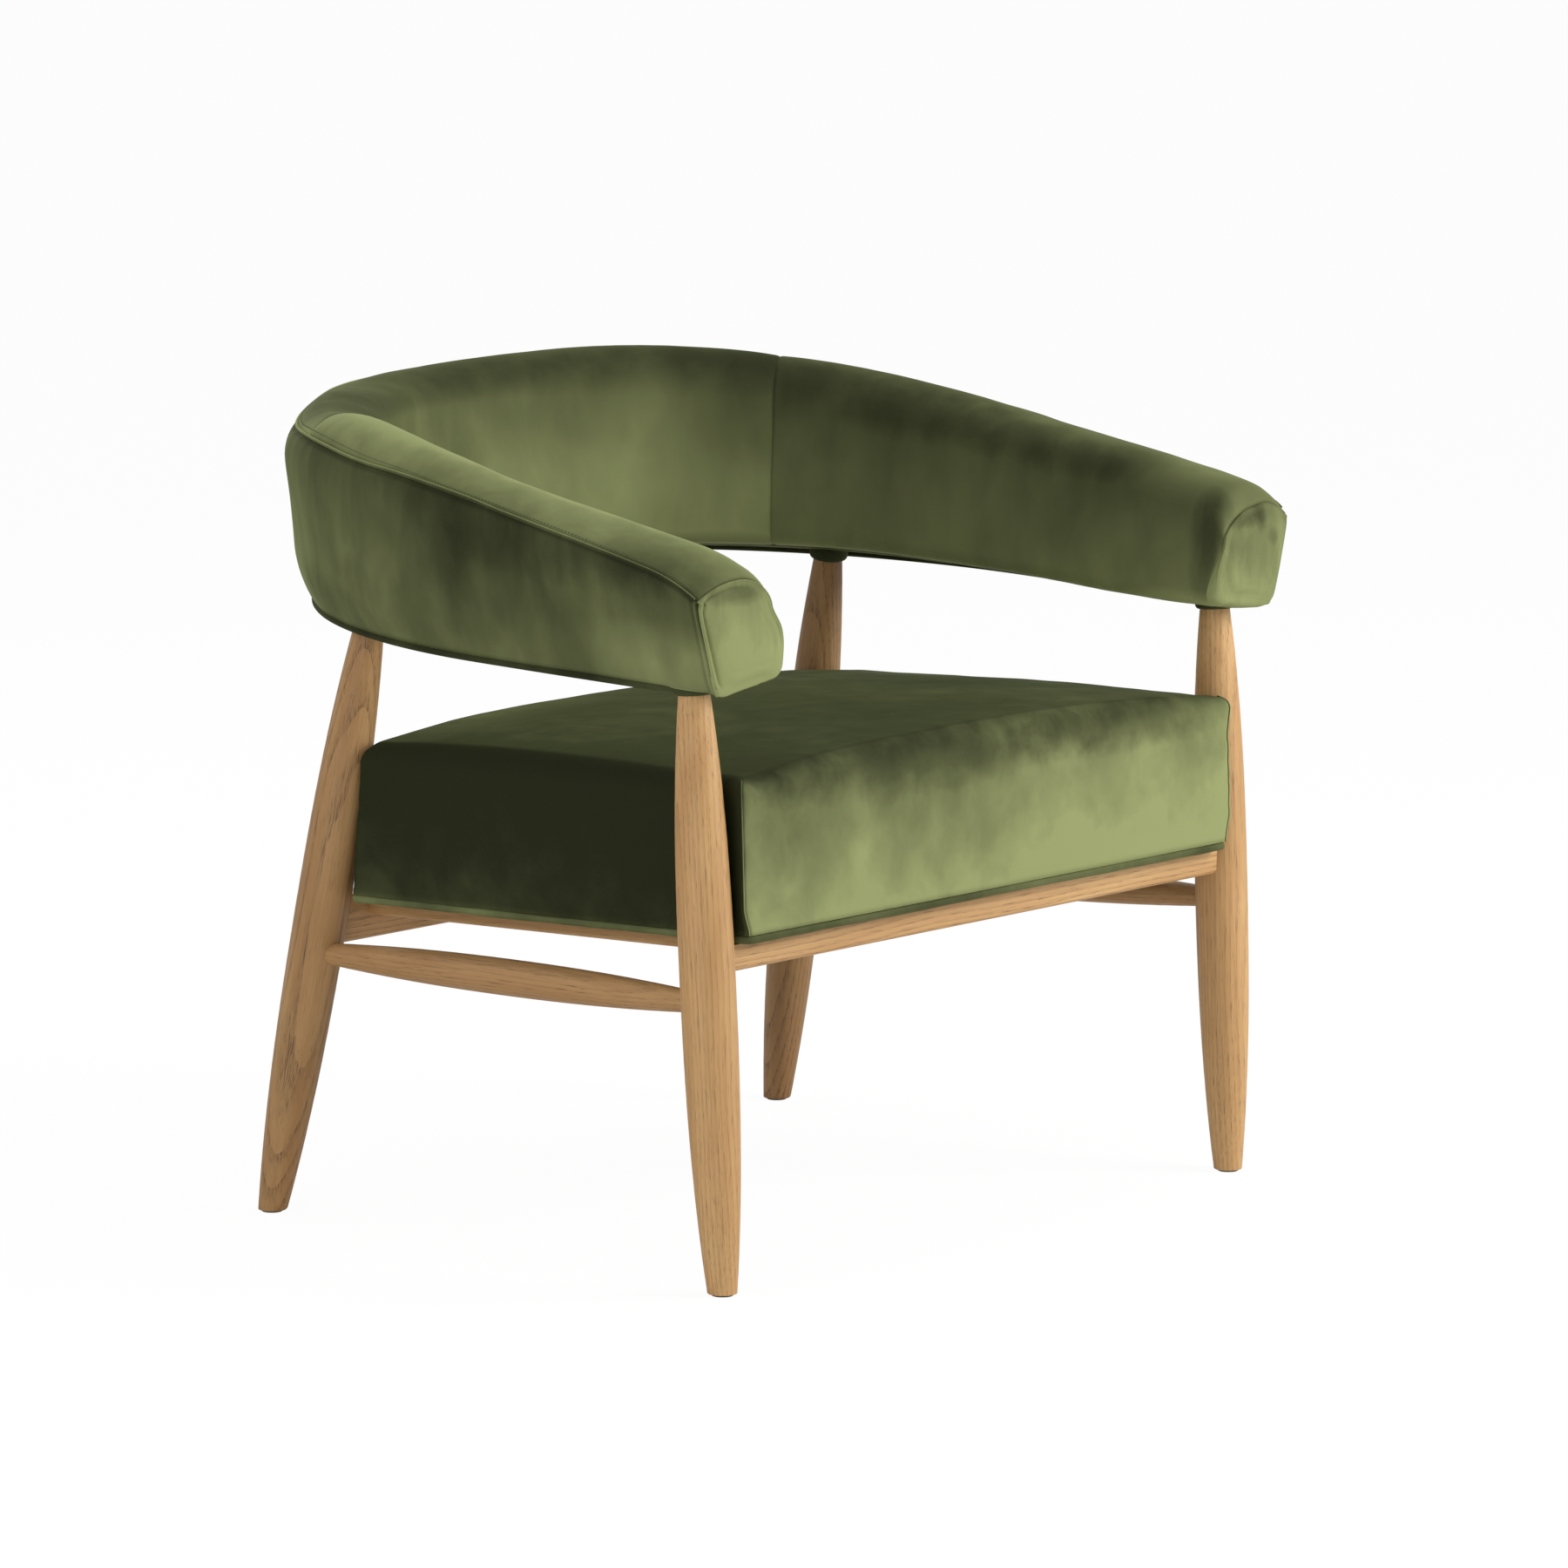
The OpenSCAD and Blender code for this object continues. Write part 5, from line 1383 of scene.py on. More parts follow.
@dataclass(frozen=True)
class Legs:
    """The four legs: where their axes run, and how their wood is laid."""

    form: BandForm
    front_in: float = 47.0 * MM
    front_back: float = 46.0 * MM
    rear_in: float = 55.0 * MM
    rear_angle: float = 27.5
    front_splay: tuple[float, float] = (-7.0 * MM, -27.0 * MM)
    rear_splay: tuple[float, float] = (36.0 * MM, 98.0 * MM)
    frame_lift: float = 16.0 * MM
    thickest: float = 49.0 * MM
    stretcher_front: float = 257.0 * MM
    stretcher_rear: float = 243.0 * MM
    stretcher_stain: float = 0.8
    # The rear legs are darker: painted shade, as they stand in the shade of the seat and band
    rear_right_painted_shade: float = 0.57
    rear_left_painted_shade: float = 0.72
    collar_width: float = 37.0 * MM
    collar_wall: float = 4.2 * MM
    collar_height: float = 8.0 * MM
    rear_collar_share: float = 0.55

    def ends(self, rear: bool) -> tuple[np.ndarray, np.ndarray]:
        """Foot and top of a right leg's axis.

        Args:
            rear: whether it is the rear leg.

        Returns:
            The foot on the floor and the top under the base rail.
        """
        place = self.form.arm_length + self.form.bend_length * self.rear_angle / 180.0 if rear else self.front_back
        inward, splay = (self.rear_in, self.rear_splay) if rear else (self.front_in, self.front_splay)
        top = self.form.place(np.array([place]), inward, 0.0)[0]
        top[2] = self.form.hem(top[1]) + self.frame_lift
        return np.array([top[0] + splay[0], top[1] + splay[1], 0.0]), top

    def axis_at(self, rear: bool, z: float) -> np.ndarray:
        """The point of a right leg's axis at a height."""
        foot, top = self.ends(rear)
        return foot + (top - foot) * z / top[2]

    @staticmethod
    def mirrored(place: np.ndarray, side: Side) -> np.ndarray:
        """A place on the right side of the chair, or its mirror image on the left."""
        return place * np.array([side.value, 1.0, 1.0])

    def each(self) -> Iterator[tuple[str, Side, bool, np.ndarray, np.ndarray]]:
        """Goes through the four legs.

        Returns:
            For each leg its name, its side, whether it is a rear leg, its foot and its top.
        """
        for side in Side:
            for rear in (False, True):
                foot, top = (self.mirrored(q, side) for q in self.ends(rear))
                yield f"{'rear' if rear else 'front'}_{side.name.lower()}", side, rear, foot, top

    @staticmethod
    def lay_wood(
        name: str, start: Triple, end: Triple, grain: Grain, pith: tuple[float, float], stain_and_shade: float = 1.0
    ) -> None:
        """Paints a wooden node with ash whose grain runs from one place to another.

        Args:
            name: name of the node.
            start: one end of the grain's line.
            end: its other end.
            grain: how strongly the growth rings show.
            pith: distances from that line to the middle of the rings.
            stain_and_shade: share of light left by the staining, and on the rear legs by painted shade.
        """
        wood = AshWood(f"ash_{name}", tuple(start), tuple(end), grain, pith, stain_and_shade=stain_and_shade)
        paint(frame["nodes"][name], wood.make())

    def dress_wood(self) -> None:
        """Gives each leg, rail, stretcher and block ash with its grain along the piece."""
        for place, side, rear, foot, top in self.each():
            pith = (0.03 + 0.006 * side.value, -0.018 + 0.03 * rear)
            rear_painted_shade = self.rear_right_painted_shade if side is Side.RIGHT else self.rear_left_painted_shade
            grain, stain_and_shade = (Grain.BOLD, rear_painted_shade) if rear else (Grain.PLAIN, 1.0)
            self.lay_wood(f"leg_{place}", foot, top, grain, pith, stain_and_shade)
        for side in Side:
            front = self.mirrored(self.axis_at(False, self.stretcher_front), side)
            back = self.mirrored(self.axis_at(True, self.stretcher_rear), side)
            name = f"stretcher_{side.name.lower()}"
            self.lay_wood(name, front, back, Grain.PLAIN, (0.02, 0.03), self.stretcher_stain)
            name = f"side_rail_{side.name.lower()}"
            low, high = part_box(name)
            self.lay_wood(name, (low.x, low.y, high.z), (low.x, high.y, low.z), Grain.QUIET, (0.04, -0.03))
        for name in ("front_rail", "rear_rail", "corner_blocks"):
            low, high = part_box(name)
            self.lay_wood(name, (low.x, low.y, low.z), (high.x, low.y, low.z), Grain.BOLD, (-0.03, 0.05))

    def build_collars(self, material: Material) -> None:
        """Makes the padded collar at the top of each leg.

        Args:
            material: the dark trim velvet.
        """
        sides, wall_share = 64, 0.04
        radius = self.collar_width / 2.0
        inner = radius - self.collar_wall
        # Radii, and heights in mm over the collar's lower edge
        profile = [(inner, 4.0), (inner + 0.4 * MM, 1.6), (inner + 2.0 * MM, 0.2), (radius - 1.2 * MM, 1.0)]
        profile += [(radius - 0.2 * MM, 3.2), (radius, 6.0), (radius - 0.1 * MM, 10.0), (radius - 0.6 * MM, 22.0)]
        turn = circle(sides)
        for place, _, rear, foot, top in self.each():
            axis = Vector(top - foot)
            turned = np.array(axis.to_track_quat("Z", "Y").to_matrix())
            share = self.rear_collar_share if rear else 1.0
            start = axis.length - self.frame_lift - self.collar_height * share
            rings = [(r * np.cos(turn), r * np.sin(turn), np.full_like(turn, start + h * MM)) for r, h in profile]
            rings = np.stack([np.stack(ring, axis=-1) @ turned.T + foot for ring in rings])
            out = (rings - rings.mean(axis=1, keepdims=True)) / radius
            rings += lumps(rings, (0.35 * MM, 90.0, 1.0))[..., None] * out
            inside = mix(rings, rings.mean(axis=1, keepdims=True), wall_share)[::-1]
            whole = np.concatenate([rings, inside[:-1]])
            faces = grid_faces(len(whole), sides, closed=True) + joined_ends(len(whole), sides)
            dress(make_mesh(f"leg_collar_{place}", whole, faces, material), "velvet_trim", "leg_collars")


@dataclass
class Seat:
    """The thick box seat with its welt."""

    legs: Legs
    cover: Material
    welt_cover: Material
    base_z: float = 308.0 * MM
    tilt: float = 1.8
    proud: float = 3.5 * MM
    height: float = 142.0 * MM
    back_more: float = 1.0 * MM
    rake: float = 14.0 * MM
    crown_x: float = 15.8 * MM
    crown_y: float = 4.6 * MM
    fullness: float = 3.0 * MM
    edge_radius: float = 15.0 * MM
    corner_radius: float = 6.0 * MM
    corner_full: float = 6.5 * MM
    corner_reach: float = 13.0 * MM
    corner_pucker: float = 1.1 * MM
    corner_ear: float = 4.0 * MM
    ear_reach: float = 17.0 * MM
    corner_welt_radius: float = 1.1 * MM
    lopsided: float = 3.2 * MM
    side_gap: float = 0.8 * MM
    welt_radius: float = 3.6 * MM
    welt_proud: float = 1.2 * MM
    welt_lift: float = 0.3 * MM
    # Points along x, along y and round a corner
    spans: tuple[int, int, int] = (112, 96, 8)
    # Uneven stuffing: height, lumps per metre and seed of each layer
    stuffing: tuple[Triple, ...] = ((1.3 * MM, 5.0, 2.3), (0.7 * MM, 15.0, 7.1), (0.2 * MM, 48.0, 4.0))
    half: float = field(init=False)
    front_y: float = field(init=False)
    depth: float = field(init=False)
    hem: float = field(init=False)

    def __post_init__(self) -> None:
        """Works out the seat's half width, its front, its depth between the legs and the height of its hem."""
        legs = self.legs
        half_leg = legs.thickest / 2.0
        at_front = legs.axis_at(False, self.base_z)
        self.half = at_front[0] - half_leg - self.side_gap
        self.front_y = at_front[1] - half_leg - self.proud
        slope = math.tan(math.radians(self.tilt))
        rear_base = legs.axis_at(True, self.base_z)[1]
        high_z = self.base_z - (rear_base - self.front_y) * slope + self.height
        rear_y = legs.axis_at(True, high_z)[1] - half_leg - self.side_gap
        self.depth = (rear_y - self.front_y) / math.cos(math.radians(self.tilt))
        self.hem = 2.0 * self.welt_radius + 0.6 * MM

    def to_frame(self, points: np.ndarray) -> np.ndarray:
        """Places points of the seat in the part's frame.

        Args:
            points: positions from the middle of the seat's underside, with the seat level.

        Returns:
            The positions in the part's frame, with the seat tilted.
        """
        turn = np.array(Matrix.Rotation(math.radians(-self.tilt), 3, "X"))
        moved = points + np.array([0.0, self.depth / 2.0, 0.0])
        return moved @ turn.T + np.array([0.0, self.front_y, self.base_z])

    def crown(self, x: np.ndarray, y: np.ndarray) -> np.ndarray:
        """Height of the crowned top over its front corners.

        Args:
            x: places across the seat.
            y: places from its front to its back.

        Returns:
            The heights.
        """
        gx = 1.0 - np.clip(np.abs(x) / self.half, 0.0, 1.0) ** 2.6
        gy = 1.0 - np.clip(np.abs(y) / self.depth * 2.0, 0.0, 1.0) ** 2.4
        uneven = -self.lopsided * np.clip(x / self.half, -1.0, 1.0) * fade(y, -0.45 * self.depth, 0.3 * self.depth)
        return self.back_more * (y / self.depth + 0.5) + self.crown_x * gx + self.crown_y * gy + uneven

    def ring(self, inward: float, full: float, corner: float, count: tuple[int, int, int]) -> np.ndarray:
        """Points round a rectangle with rounded corners and full sides.

        Args:
            inward: how far the rectangle is drawn in.
            full: how far its sides bulge at their middles.
            corner: radius of its corners.
            count: spans along x, along y and round a corner.

        Returns:
            Positions from the right side's front end round by the back, with z = 0.
        """
        hx, hy = self.half - inward, self.depth / 2.0 - inward
        nx, ny, nc = count
        fx = np.linspace(-1.0, 1.0, nx + 1)
        fy = np.linspace(-1.0, 1.0, ny + 1)
        g = np.linspace(0.0, 0.5 * math.pi, nc + 1)[1:-1]
        right = np.stack([hx + full * (1.0 - fy**2), fy * (hy - corner)], axis=-1)
        back = np.stack([-fx * (hx - corner), hy + full * (1.0 - fx**2)], axis=-1)
        turn = np.stack([hx - corner + corner * np.cos(g), hy - corner + corner * np.sin(g)], axis=-1)
        other = np.stack([-hx + corner - corner * np.sin(g), hy - corner + corner * np.cos(g)], axis=-1)
        half_loop = np.concatenate([right, turn, back, other])
        loop = np.concatenate([half_loop, -half_loop])
        return np.concatenate([loop, np.zeros((len(loop), 1))], axis=1)

    def raked(self, points: np.ndarray) -> np.ndarray:
        """Leans the back of the seat with the rear legs.

        Args:
            points: positions on the level seat.

        Returns:
            The moved positions.
        """
        share = np.clip(points[..., 1] / self.depth * 2.0, 0.0, 1.0)
        lift = np.clip(1.0 - points[..., 2] / (self.height - self.edge_radius), 0.0, 1.0)
        leaned = points.copy()
        leaned[..., 1] += self.rake * share * lift
        return leaned

    def side_rings(self, count: tuple[int, int, int]) -> np.ndarray:
        """Rings from the hem up the sides and over the roll to the edge of the top.

        Args:
            count: spans along x, along y and round a corner.

        Returns:
            The rings of points, on the level seat.
        """
        rows_up, rows_over = 22, 13
        straight = self.height - self.edge_radius
        rings = []
        for f in np.linspace(0.0, 1.0, rows_up):
            swell = math.sin(math.radians(mix(20.0, 90.0, min(1.0, f * 1.6))))
            ring = self.ring(0.0, self.fullness * swell, self.corner_radius, count)
            ring[:, 2] = mix(self.hem, straight, f)
            rings.append(ring)
        for g in np.radians(np.linspace(0.0, 90.0, rows_over)[1:]):
            inward = self.edge_radius * (1.0 - math.cos(g))
            corner = self.corner_radius * math.sqrt(max(0.0, 1.0 - inward / self.edge_radius))
            ring = self.ring(inward, self.fullness * math.cos(g), corner, count)
            ring[:, 2] = straight + self.edge_radius * math.sin(g)
            ring[:, 2] += self.crown(ring[:, 0], ring[:, 1]) * g / (0.5 * math.pi)
            rings.append(ring)
        return np.array(rings)

    def build_cushion(self) -> None:
        """Makes the padded cover: sides and roll from rings, the top from a grid that meets them."""
        rings = self.side_rings(self.spans)
        nx, ny = self.spans[0] + 1, self.spans[1] + 1
        hx, hy = self.half - self.edge_radius, self.depth / 2.0 - self.edge_radius
        gx, gy = np.meshgrid(np.linspace(-1.0, 1.0, nx) * hx, np.linspace(-1.0, 1.0, ny) * hy)
        top = np.stack([gx, gy, self.height + self.crown(gx, gy)], axis=-1)
        points = np.concatenate([rings.reshape(-1, 3), top.reshape(-1, 3)])
        rows, loop = rings.shape[:2]
        faces = grid_faces(rows, loop, closed=True)
        faces += [tuple(rows * loop + n for n in quad) for quad in grid_faces(ny, nx)]
        faces.append(tuple(range(loop)))
        points = points + self.relief(points)
        cushion = make_mesh("seat_cushion", self.to_frame(self.raked(points)), faces, self.cover)
        dress(cushion, "velvet", "seat_cover", "seat_foam")

    def relief(self, points: np.ndarray) -> np.ndarray:
        """Uneven stuffing, corner puckers and the pull of the corner seams.

        Args:
            points: positions on the level seat.

        Returns:
            The move of each point.
        """
        x, y, z = points[:, 0], points[:, 1], points[:, 2]
        centre = np.array([0.0, 0.0, 0.5 * self.height])
        box = np.array([self.half, self.depth / 2.0, 0.5 * self.height])
        out = ((points - centre) / box) ** 7
        out /= np.maximum(np.linalg.norm(out, axis=1, keepdims=True), 1e-9)
        near_hem = fade(z, self.hem, self.hem + 25.0 * MM)
        corner = np.hypot(self.half - np.abs(x), self.depth / 2.0 - np.abs(y))
        pucker = cloudy(points * np.array([1.0, 1.0, 1.6]), 42.0, 5.5) * bell(corner, 45.0 * MM) * self.corner_pucker
        move = out * ((lumps(points, *self.stuffing) + pucker) * near_hem)[:, None]
        from_front = y + self.depth / 2.0
        full = self.corner_full * bell(from_front, self.corner_reach) * fade(np.abs(x), 0.8 * self.half, self.half)
        move[:, 0] += np.sign(x) * full * near_hem
        from_ear = np.hypot(np.hypot(self.half - np.abs(x), from_front), z - self.height)
        ear = self.corner_ear * bell(from_ear, self.ear_reach)
        return move + np.stack([0.7 * np.sign(x) * ear, -0.5 * ear, 0.9 * ear], axis=-1)

    def build_corner_welts(self) -> None:
        """Makes the fine seam up each front corner of the cushion."""
        rings = self.side_rings((2, 2, 4))[:-4]
        for side in Side:
            at = np.argmin(np.abs(rings[0, :, 0] * side.value - self.half + 0.3 * self.corner_radius) + rings[0, :, 1])
            line = rings[:, at] + self.relief(rings[:, at])
            line += np.array([side.value * 0.35, -0.35, 0.0]) * self.corner_welt_radius
            path = self.to_frame(self.raked(line))
            radius = self.corner_welt_radius * (1.0 + 0.25 * cloudy(path, 45.0, 3.3))
            dress(tube(f"seat_corner_seam_{side.name.lower()}", path, radius, self.cover, sides=8), "velvet")

    def build_welt(self) -> None:
        """Makes the soft, rumpled welt round the underside of the seat."""
        r, spans = self.welt_radius, (90, 76, 6)
        loop = self.ring(r - self.welt_proud, 0.0, self.corner_radius, spans)
        steps = np.linalg.norm(loop - np.roll(loop, 1, axis=0), axis=1)
        loop = loop[steps > 0.01 * MM]
        loop[:, 2] = r + self.welt_lift
        path = self.to_frame(self.raked(loop))
        radius = r * (1.0 + 0.16 * cloudy(path, 30.0, 4.2))
        path[:, 2] += 0.5 * MM * cloudy(path, 9.0, 8.8)
        welt = tube("seat_lower_welt", path, radius, self.welt_cover, sides=16, closed=True)
        dress(welt, "velvet_trim", "seat_welt")

    def build(self) -> None:
        """Makes the cushion, its corner seams and its welt."""
        self.build_cushion()
        self.build_corner_welts()
        self.build_welt()


def paint(node: Piece, material: Material) -> None:
    """Gives a CAD node its finish and smooth shading over its rounded faces.

    Args:
        node: the CAD node's object.
        material: its finish.
    """
    sharp_from = 32.0
    node.data.materials.clear()
    node.data.materials.append(material)
    node.data.shade_smooth()
    modifier = node.modifiers.new("edges", "EDGE_SPLIT")
    modifier.split_angle = math.radians(sharp_from)


@dataclass(frozen=True)
class HiddenPieces:
    """Finishes for the frame, webbing and screws inside the chair."""

    plywood_nodes: tuple[str, ...] = (
        "rail_dowels", "seat_platform", "band_base", "band_posts", "band_top_rail", "band_inner_liner",
        "band_outer_liner",
    )
    steel_nodes: tuple[str, ...] = ("corner_block_screws", "seat_screws", "leg_screws")

    def dress(self) -> None:
        """Paints each hidden node with its own finish."""
        nodes = frame["nodes"]
        plywood = Plywood("birch_plywood").make()
        steel = HardFinish("zinc_steel", rgb(178, 180, 182), 1.0, 0.38).make()
        for name in self.plywood_nodes:
            paint(nodes[name], plywood)
        for name in self.steel_nodes:
            paint(nodes[name], steel)
        paint(nodes["seat_webbing"], WovenCloth("jute_webbing", rgb(190, 176, 140), rgb(140, 126, 94), 260.0).make())
        paint(nodes["seat_dust_cover"], WovenCloth("black_dust_cloth", rgb(34, 34, 34), rgb(20, 20, 20)).make())
        paint(nodes["foot_glides"], HardFinish("grey_glide", rgb(70, 70, 68), 0.0, 0.5).make())
        foam = Foam("seat_foam_cells").make()
        for name in ("seat_foam", "band_foam"):
            paint(nodes[name], foam)


@dataclass(frozen=True)
class Lamp:
    """A square soft light: its place, the length of its side, its power in watts and the blue in its colour."""

    name: str
    place: Triple
    size: float
    power: float
    blue: float = 1.0


@dataclass(frozen=True)
class Studio:
    """White studio: camera at the photograph's angle, a large key light from the front right and soft fill."""

    azimuth: float = -49.49
    elevation: float = 8.83
    distance: float = 7.76
    pivot: Triple = (0.0, -0.0765, 0.37)
    aim_right: float = 0.024
    aim_up: float = 0.011
    lens: float = 194.2
    sensor: float = 36.0
    view_reach: float = 200.0
    lit_point: Triple = (0.0, 0.0, 0.42)
    lamps: tuple[Lamp, ...] = (
        Lamp("key_light", (1.9, -3.1, 1.9), 1.7, 112.0, 0.98),
        Lamp("fill_light", (-3.3, -0.6, 1.4), 2.4, 36.0),
        Lamp("top_light", (0.2, 0.3, 3.4), 2.2, 16.0),
        Lamp("back_light", (1.4, 2.8, 1.9), 1.8, 8.0),
    )
    world_light: float = 0.44
    floor_half: float = 50.0
    floor_white: float = 1.03
    floor_white_share: float = 0.92

    def build_camera(self) -> None:
        """Places the camera that matches the photograph."""
        a, e = math.radians(self.azimuth), math.radians(self.elevation)
        back = Vector((math.sin(a) * math.cos(e), -math.cos(a) * math.cos(e), math.sin(e)))
        right = Vector((math.cos(a), math.sin(a), 0.0))
        up = back.cross(right)
        data = bpy.data.cameras.new("camera")
        data.lens = self.lens
        data.sensor_width = self.sensor
        data.clip_end = self.view_reach
        camera = bpy.data.objects.new("camera", data)
        camera.location = Vector(self.pivot) + back * self.distance + right * self.aim_right + up * self.aim_up
        camera.rotation_euler = Matrix((right, up, back)).transposed().to_euler()
        bpy.context.scene.collection.objects.link(camera)
        bpy.context.scene.camera = camera

    def build_lights(self) -> None:
        """Adds the lamps, which all face the middle of the chair."""
        for lamp in self.lamps:
            data = bpy.data.lights.new(lamp.name, "AREA")
            data.shape = "SQUARE"
            data.size = lamp.size
            data.energy = lamp.power
            data.color = (1.0, mix(lamp.blue, 1.0, 0.6), lamp.blue)
            light = bpy.data.objects.new(lamp.name, data)
            light.location = lamp.place
            aim = Vector(self.lit_point) - Vector(lamp.place)
            light.rotation_euler = aim.to_track_quat("-Z", "Y").to_euler()
            bpy.context.scene.collection.objects.link(light)

    def build_world(self) -> None:
        """Lights the scene evenly, and shows plain white to the camera and in reflections."""
        world = bpy.data.worlds.new("studio")
        bpy.context.scene.world = world
        sheet = NodeSheet(world)
        path = sheet.add("LightPath").outputs
        shown = sheet.math("MAXIMUM", path["Is Camera Ray"], path["Is Glossy Ray"])
        shown = sheet.math("MAXIMUM", shown, path["Is Transmission Ray"])
        strength = sheet.range(shown, 0.0, 1.0, self.world_light, 1.0)
        background = sheet.add("Background", {"Color": (1.0, 1.0, 1.0, 1.0), "Strength": strength})
        sheet.add("OutputWorld", {"Surface": background.outputs[0]})

    def build_floor(self) -> None:
        """Adds the white floor, which keeps a faint shadow of the chair."""
        sheet = NodeSheet.for_material("white_floor")
        path = sheet.add("LightPath").outputs
        matt = sheet.add("BsdfDiffuse", {"Color": (0.8, 0.8, 0.8, 1.0)})
        white = sheet.add("Emission", {"Color": (1.0, 1.0, 1.0, 1.0), "Strength": self.floor_white})
        seen = sheet.math("MULTIPLY", path["Is Camera Ray"], self.floor_white_share)
        blend = sheet.add("MixShader", {0: seen, 1: matt.outputs[0], 2: white.outputs[0]})
        sheet.add("OutputMaterial", {"Surface": blend.outputs[0]})
        corners = np.array([(-1, -1, 0), (1, -1, 0), (1, 1, 0), (-1, 1, 0)]) * self.floor_half
        make_mesh("studio_floor", corners, [(0, 1, 2, 3)], sheet.owner)

    def build(self) -> None:
        """Sets up the camera, lights, world and floor."""
        bpy.context.scene.view_settings.view_transform = "Standard"
        self.build_camera()
        self.build_lights()
        self.build_world()
        self.build_floor()


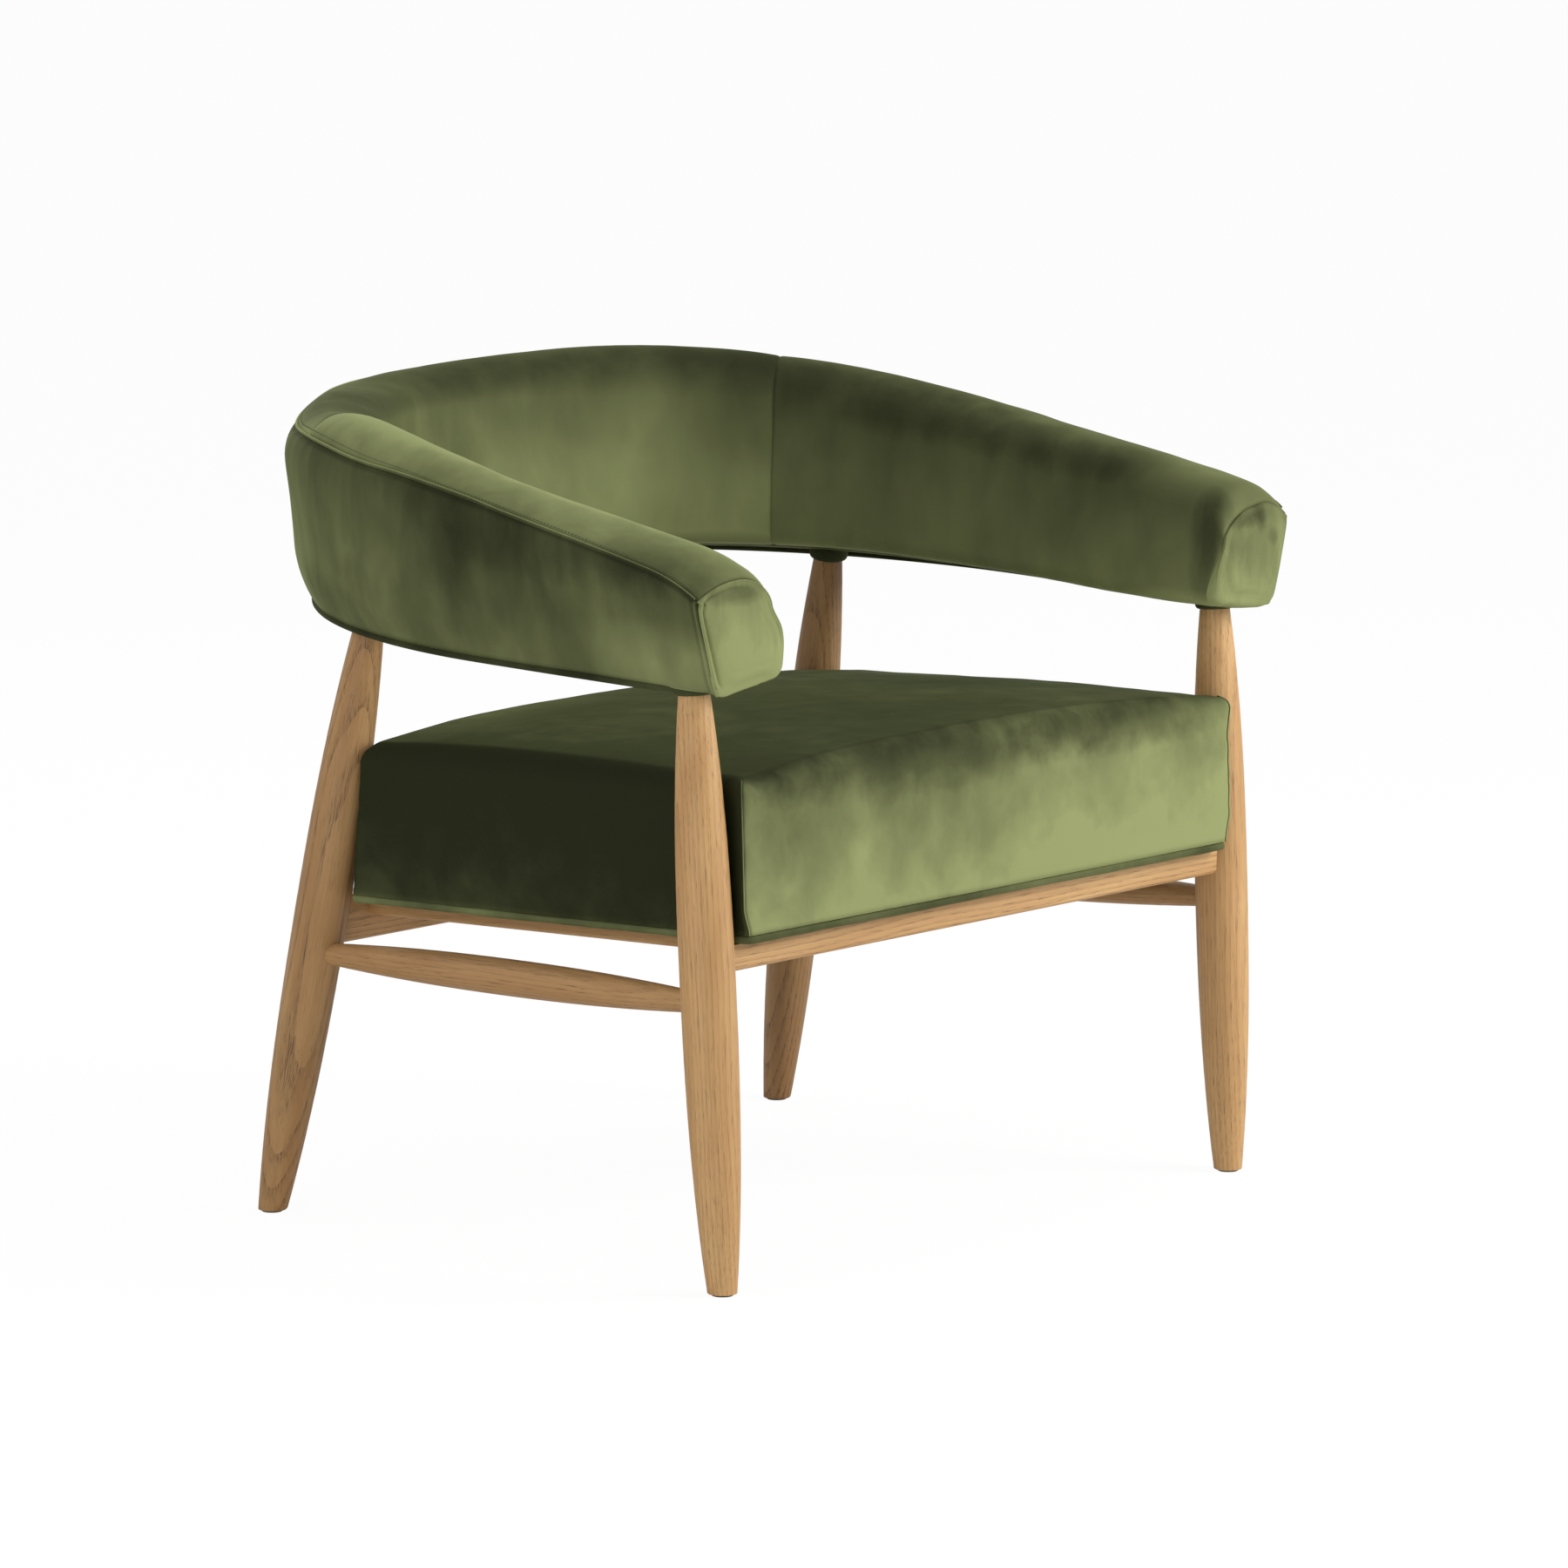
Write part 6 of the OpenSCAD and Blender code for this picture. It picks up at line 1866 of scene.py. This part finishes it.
def band_covers() -> BandCovers:
    """Finishes of the band: on each panel the tone follows facing and height, the lie of the pile with painted light
    and shade, with lighter and deeper spots here and there.

    Returns:
        The finishes of the panels, the trim and the thread.
    """
    # Painted shade under the top seam and at the rear lower edge, and a lighter patch low at the front
    outer_spots = (
        PileAndShadeSpot((-410, -270, 648), (60, 170, 28), -0.13),
        PileAndShadeSpot((-396, -300, 562), (60, 120, 26), 0.1),
        PileAndShadeSpot((-340, 150, 568), (60, 70, 30), -0.12),
    )
    # Deeper spots along the crown and lighter ones at the arm end; the spot beside the end's ridge is painted shade,
    # the low one at the end painted light
    right_spots = (
        PileAndShadeSpot((288, 110, 718), (60, 90, 20), -0.1),
        PileAndShadeSpot((316, -10, 690), (44, 90, 20), -0.09),
        PileAndShadeSpot((328, -110, 674), (40, 80, 16), -0.1),
        PileAndShadeSpot((328, -205, 660), (40, 66, 15), -0.11),
        PileAndShadeSpot((372, -10, 715), (44, 110, 24), -0.1),
        PileAndShadeSpot((362, -320, 660), (60, 62, 30), 0.16),
        PileAndShadeSpot((372, -225, 685), (26, 60, 16), 0.06),
        PileAndShadeSpot((318, -352, 600), (24, 17, 62), -0.22),
        PileAndShadeSpot((350, -335, 540), (60, 80, 14), 0.2),
    )
    back_spots = (
        PileAndShadeSpot((178, 212, 665), (60, 60, 52), 0.12),
        PileAndShadeSpot((-355, 150, 722), (80, 80, 26), 0.32),
    )
    # Painted light where the lower roll catches light at each arm end
    under_spots = (
        PileAndShadeSpot((350, -345, 535), (60, 90, 16), 0.3),
        PileAndShadeSpot((-350, -345, 535), (60, 90, 16), 0.3),
    )
    # The deeper spots at the top of each cap are painted shade under its rounded top edge; the rest make the tone
    # uneven
    cap_spots = (
        PileAndShadeSpot((368, -372, 619), (8, 20, 14), -0.2),
        PileAndShadeSpot((345, -372, 617), (20, 20, 8), -0.13),
        PileAndShadeSpot((338, -372, 585), (16, 20, 20), -0.12),
        PileAndShadeSpot((385, -372, 598), (8, 20, 8), -0.1),
        PileAndShadeSpot((398, -372, 600), (9, 20, 30), 0.12),
        PileAndShadeSpot((-365, -372, 619), (42, 20, 9), -0.18),
        PileAndShadeSpot((-398, -372, 585), (16, 20, 40), -0.08),
    )
    right = Velvet(
        "right_velvet", 2.12, (0.2, 0.0, -0.11), (0.0, 0.18, -2.2), patch_share=0.11, stroke_share=0.08,
        pile_and_shade_spots=right_spots,
    )
    back = Velvet(
        "back_velvet", 2.7, (0.0, 0.23, -0.36), (0.0, 1.1, -3.09), patch_share=0.12, stroke_share=0.1,
        pile_and_shade_spots=back_spots,
    )
    cap = Velvet(
        "cap_velvet", 1.92, (0.0, 0.0, -0.11), (-0.17, 0.0, -1.87), patch_share=0.1, strokes=(60.0, 60.0, 30.0),
        stroke_share=0.08, pile_and_shade_spots=cap_spots,
    )
    return BandCovers(
        outer=Velvet("outer_velvet", 1.75, (0.0, 0.4, 0.0), (0.0, -0.1, -2.16), pile_and_shade_spots=outer_spots).make(),
        right=right.make(),
        back=back.make(),
        left=Velvet("left_velvet", 0.86, (0.42, 0.0, 0.12), (0.0, 0.71, 0.0)).make(),
        # The underside at a deep tone: painted shade where it faces down
        under=Velvet("under_velvet", 0.5, pile_and_shade_spots=under_spots).make(),
        cap=cap.make(),
        # The trim at a deep tone, partly painted shade of the piping under the hem
        trim=Velvet("trim_velvet", 0.34, (0.1, 0.0, 0.0)).make(),
        thread=WovenCloth("green_thread", rgb(96, 104, 66), rgb(66, 74, 44), 2400.0).make(),
    )


def seat_velvet() -> Material:
    """Finish of the seat: deep on the top and the left side, light in front, from the lie of the pile with painted
    light and shade, the left side's deep tone partly painted shade under the arm.

    Returns:
        The material.
    """
    # Spots of changed tone, partly pile and partly painted light and shade
    spots = (
        PileAndShadeSpot((-100, -360, 444), (230, 30, 26), -0.17),
        PileAndShadeSpot((190, -358, 441), (160, 30, 21), -0.19),
        PileAndShadeSpot((-210, 95, 453), (170, 70, 30), 0.24),
        PileAndShadeSpot((-285, -240, 450), (110, 120, 30), -0.08),
        PileAndShadeSpot((-335, -120, 452), (60, 260, 20), -0.13),
        PileAndShadeSpot((-376, -100, 430), (26, 280, 24), 0.15),
    )
    return Velvet(
        "seat_velvet", 1.5, (0.4, -0.385, -0.08), (0.16, 0.2, -2.6), patch_share=0.13, strokes=(30.0, 30.0, 26.0),
        stroke_share=0.12, pile_and_shade_spots=spots,
    ).make()


def main() -> None:
    """Builds the chair's pieces in order and logs each one."""
    logging.basicConfig(level=logging.INFO, format="%(name)s: %(message)s")
    covers = band_covers()
    form = BandForm()
    legs = Legs(form)
    Band(form, covers).build()
    # The welt's tone follows its facing, which paints shade on its front
    Seat(legs, seat_velvet(), Velvet("welt_velvet", 0.65, (0.03, 0.17, 0.0)).make()).build()
    legs.dress_wood()
    legs.build_collars(covers.trim)
    HiddenPieces().dress()
    Studio().build()


if __name__ == "__main__":
    main()
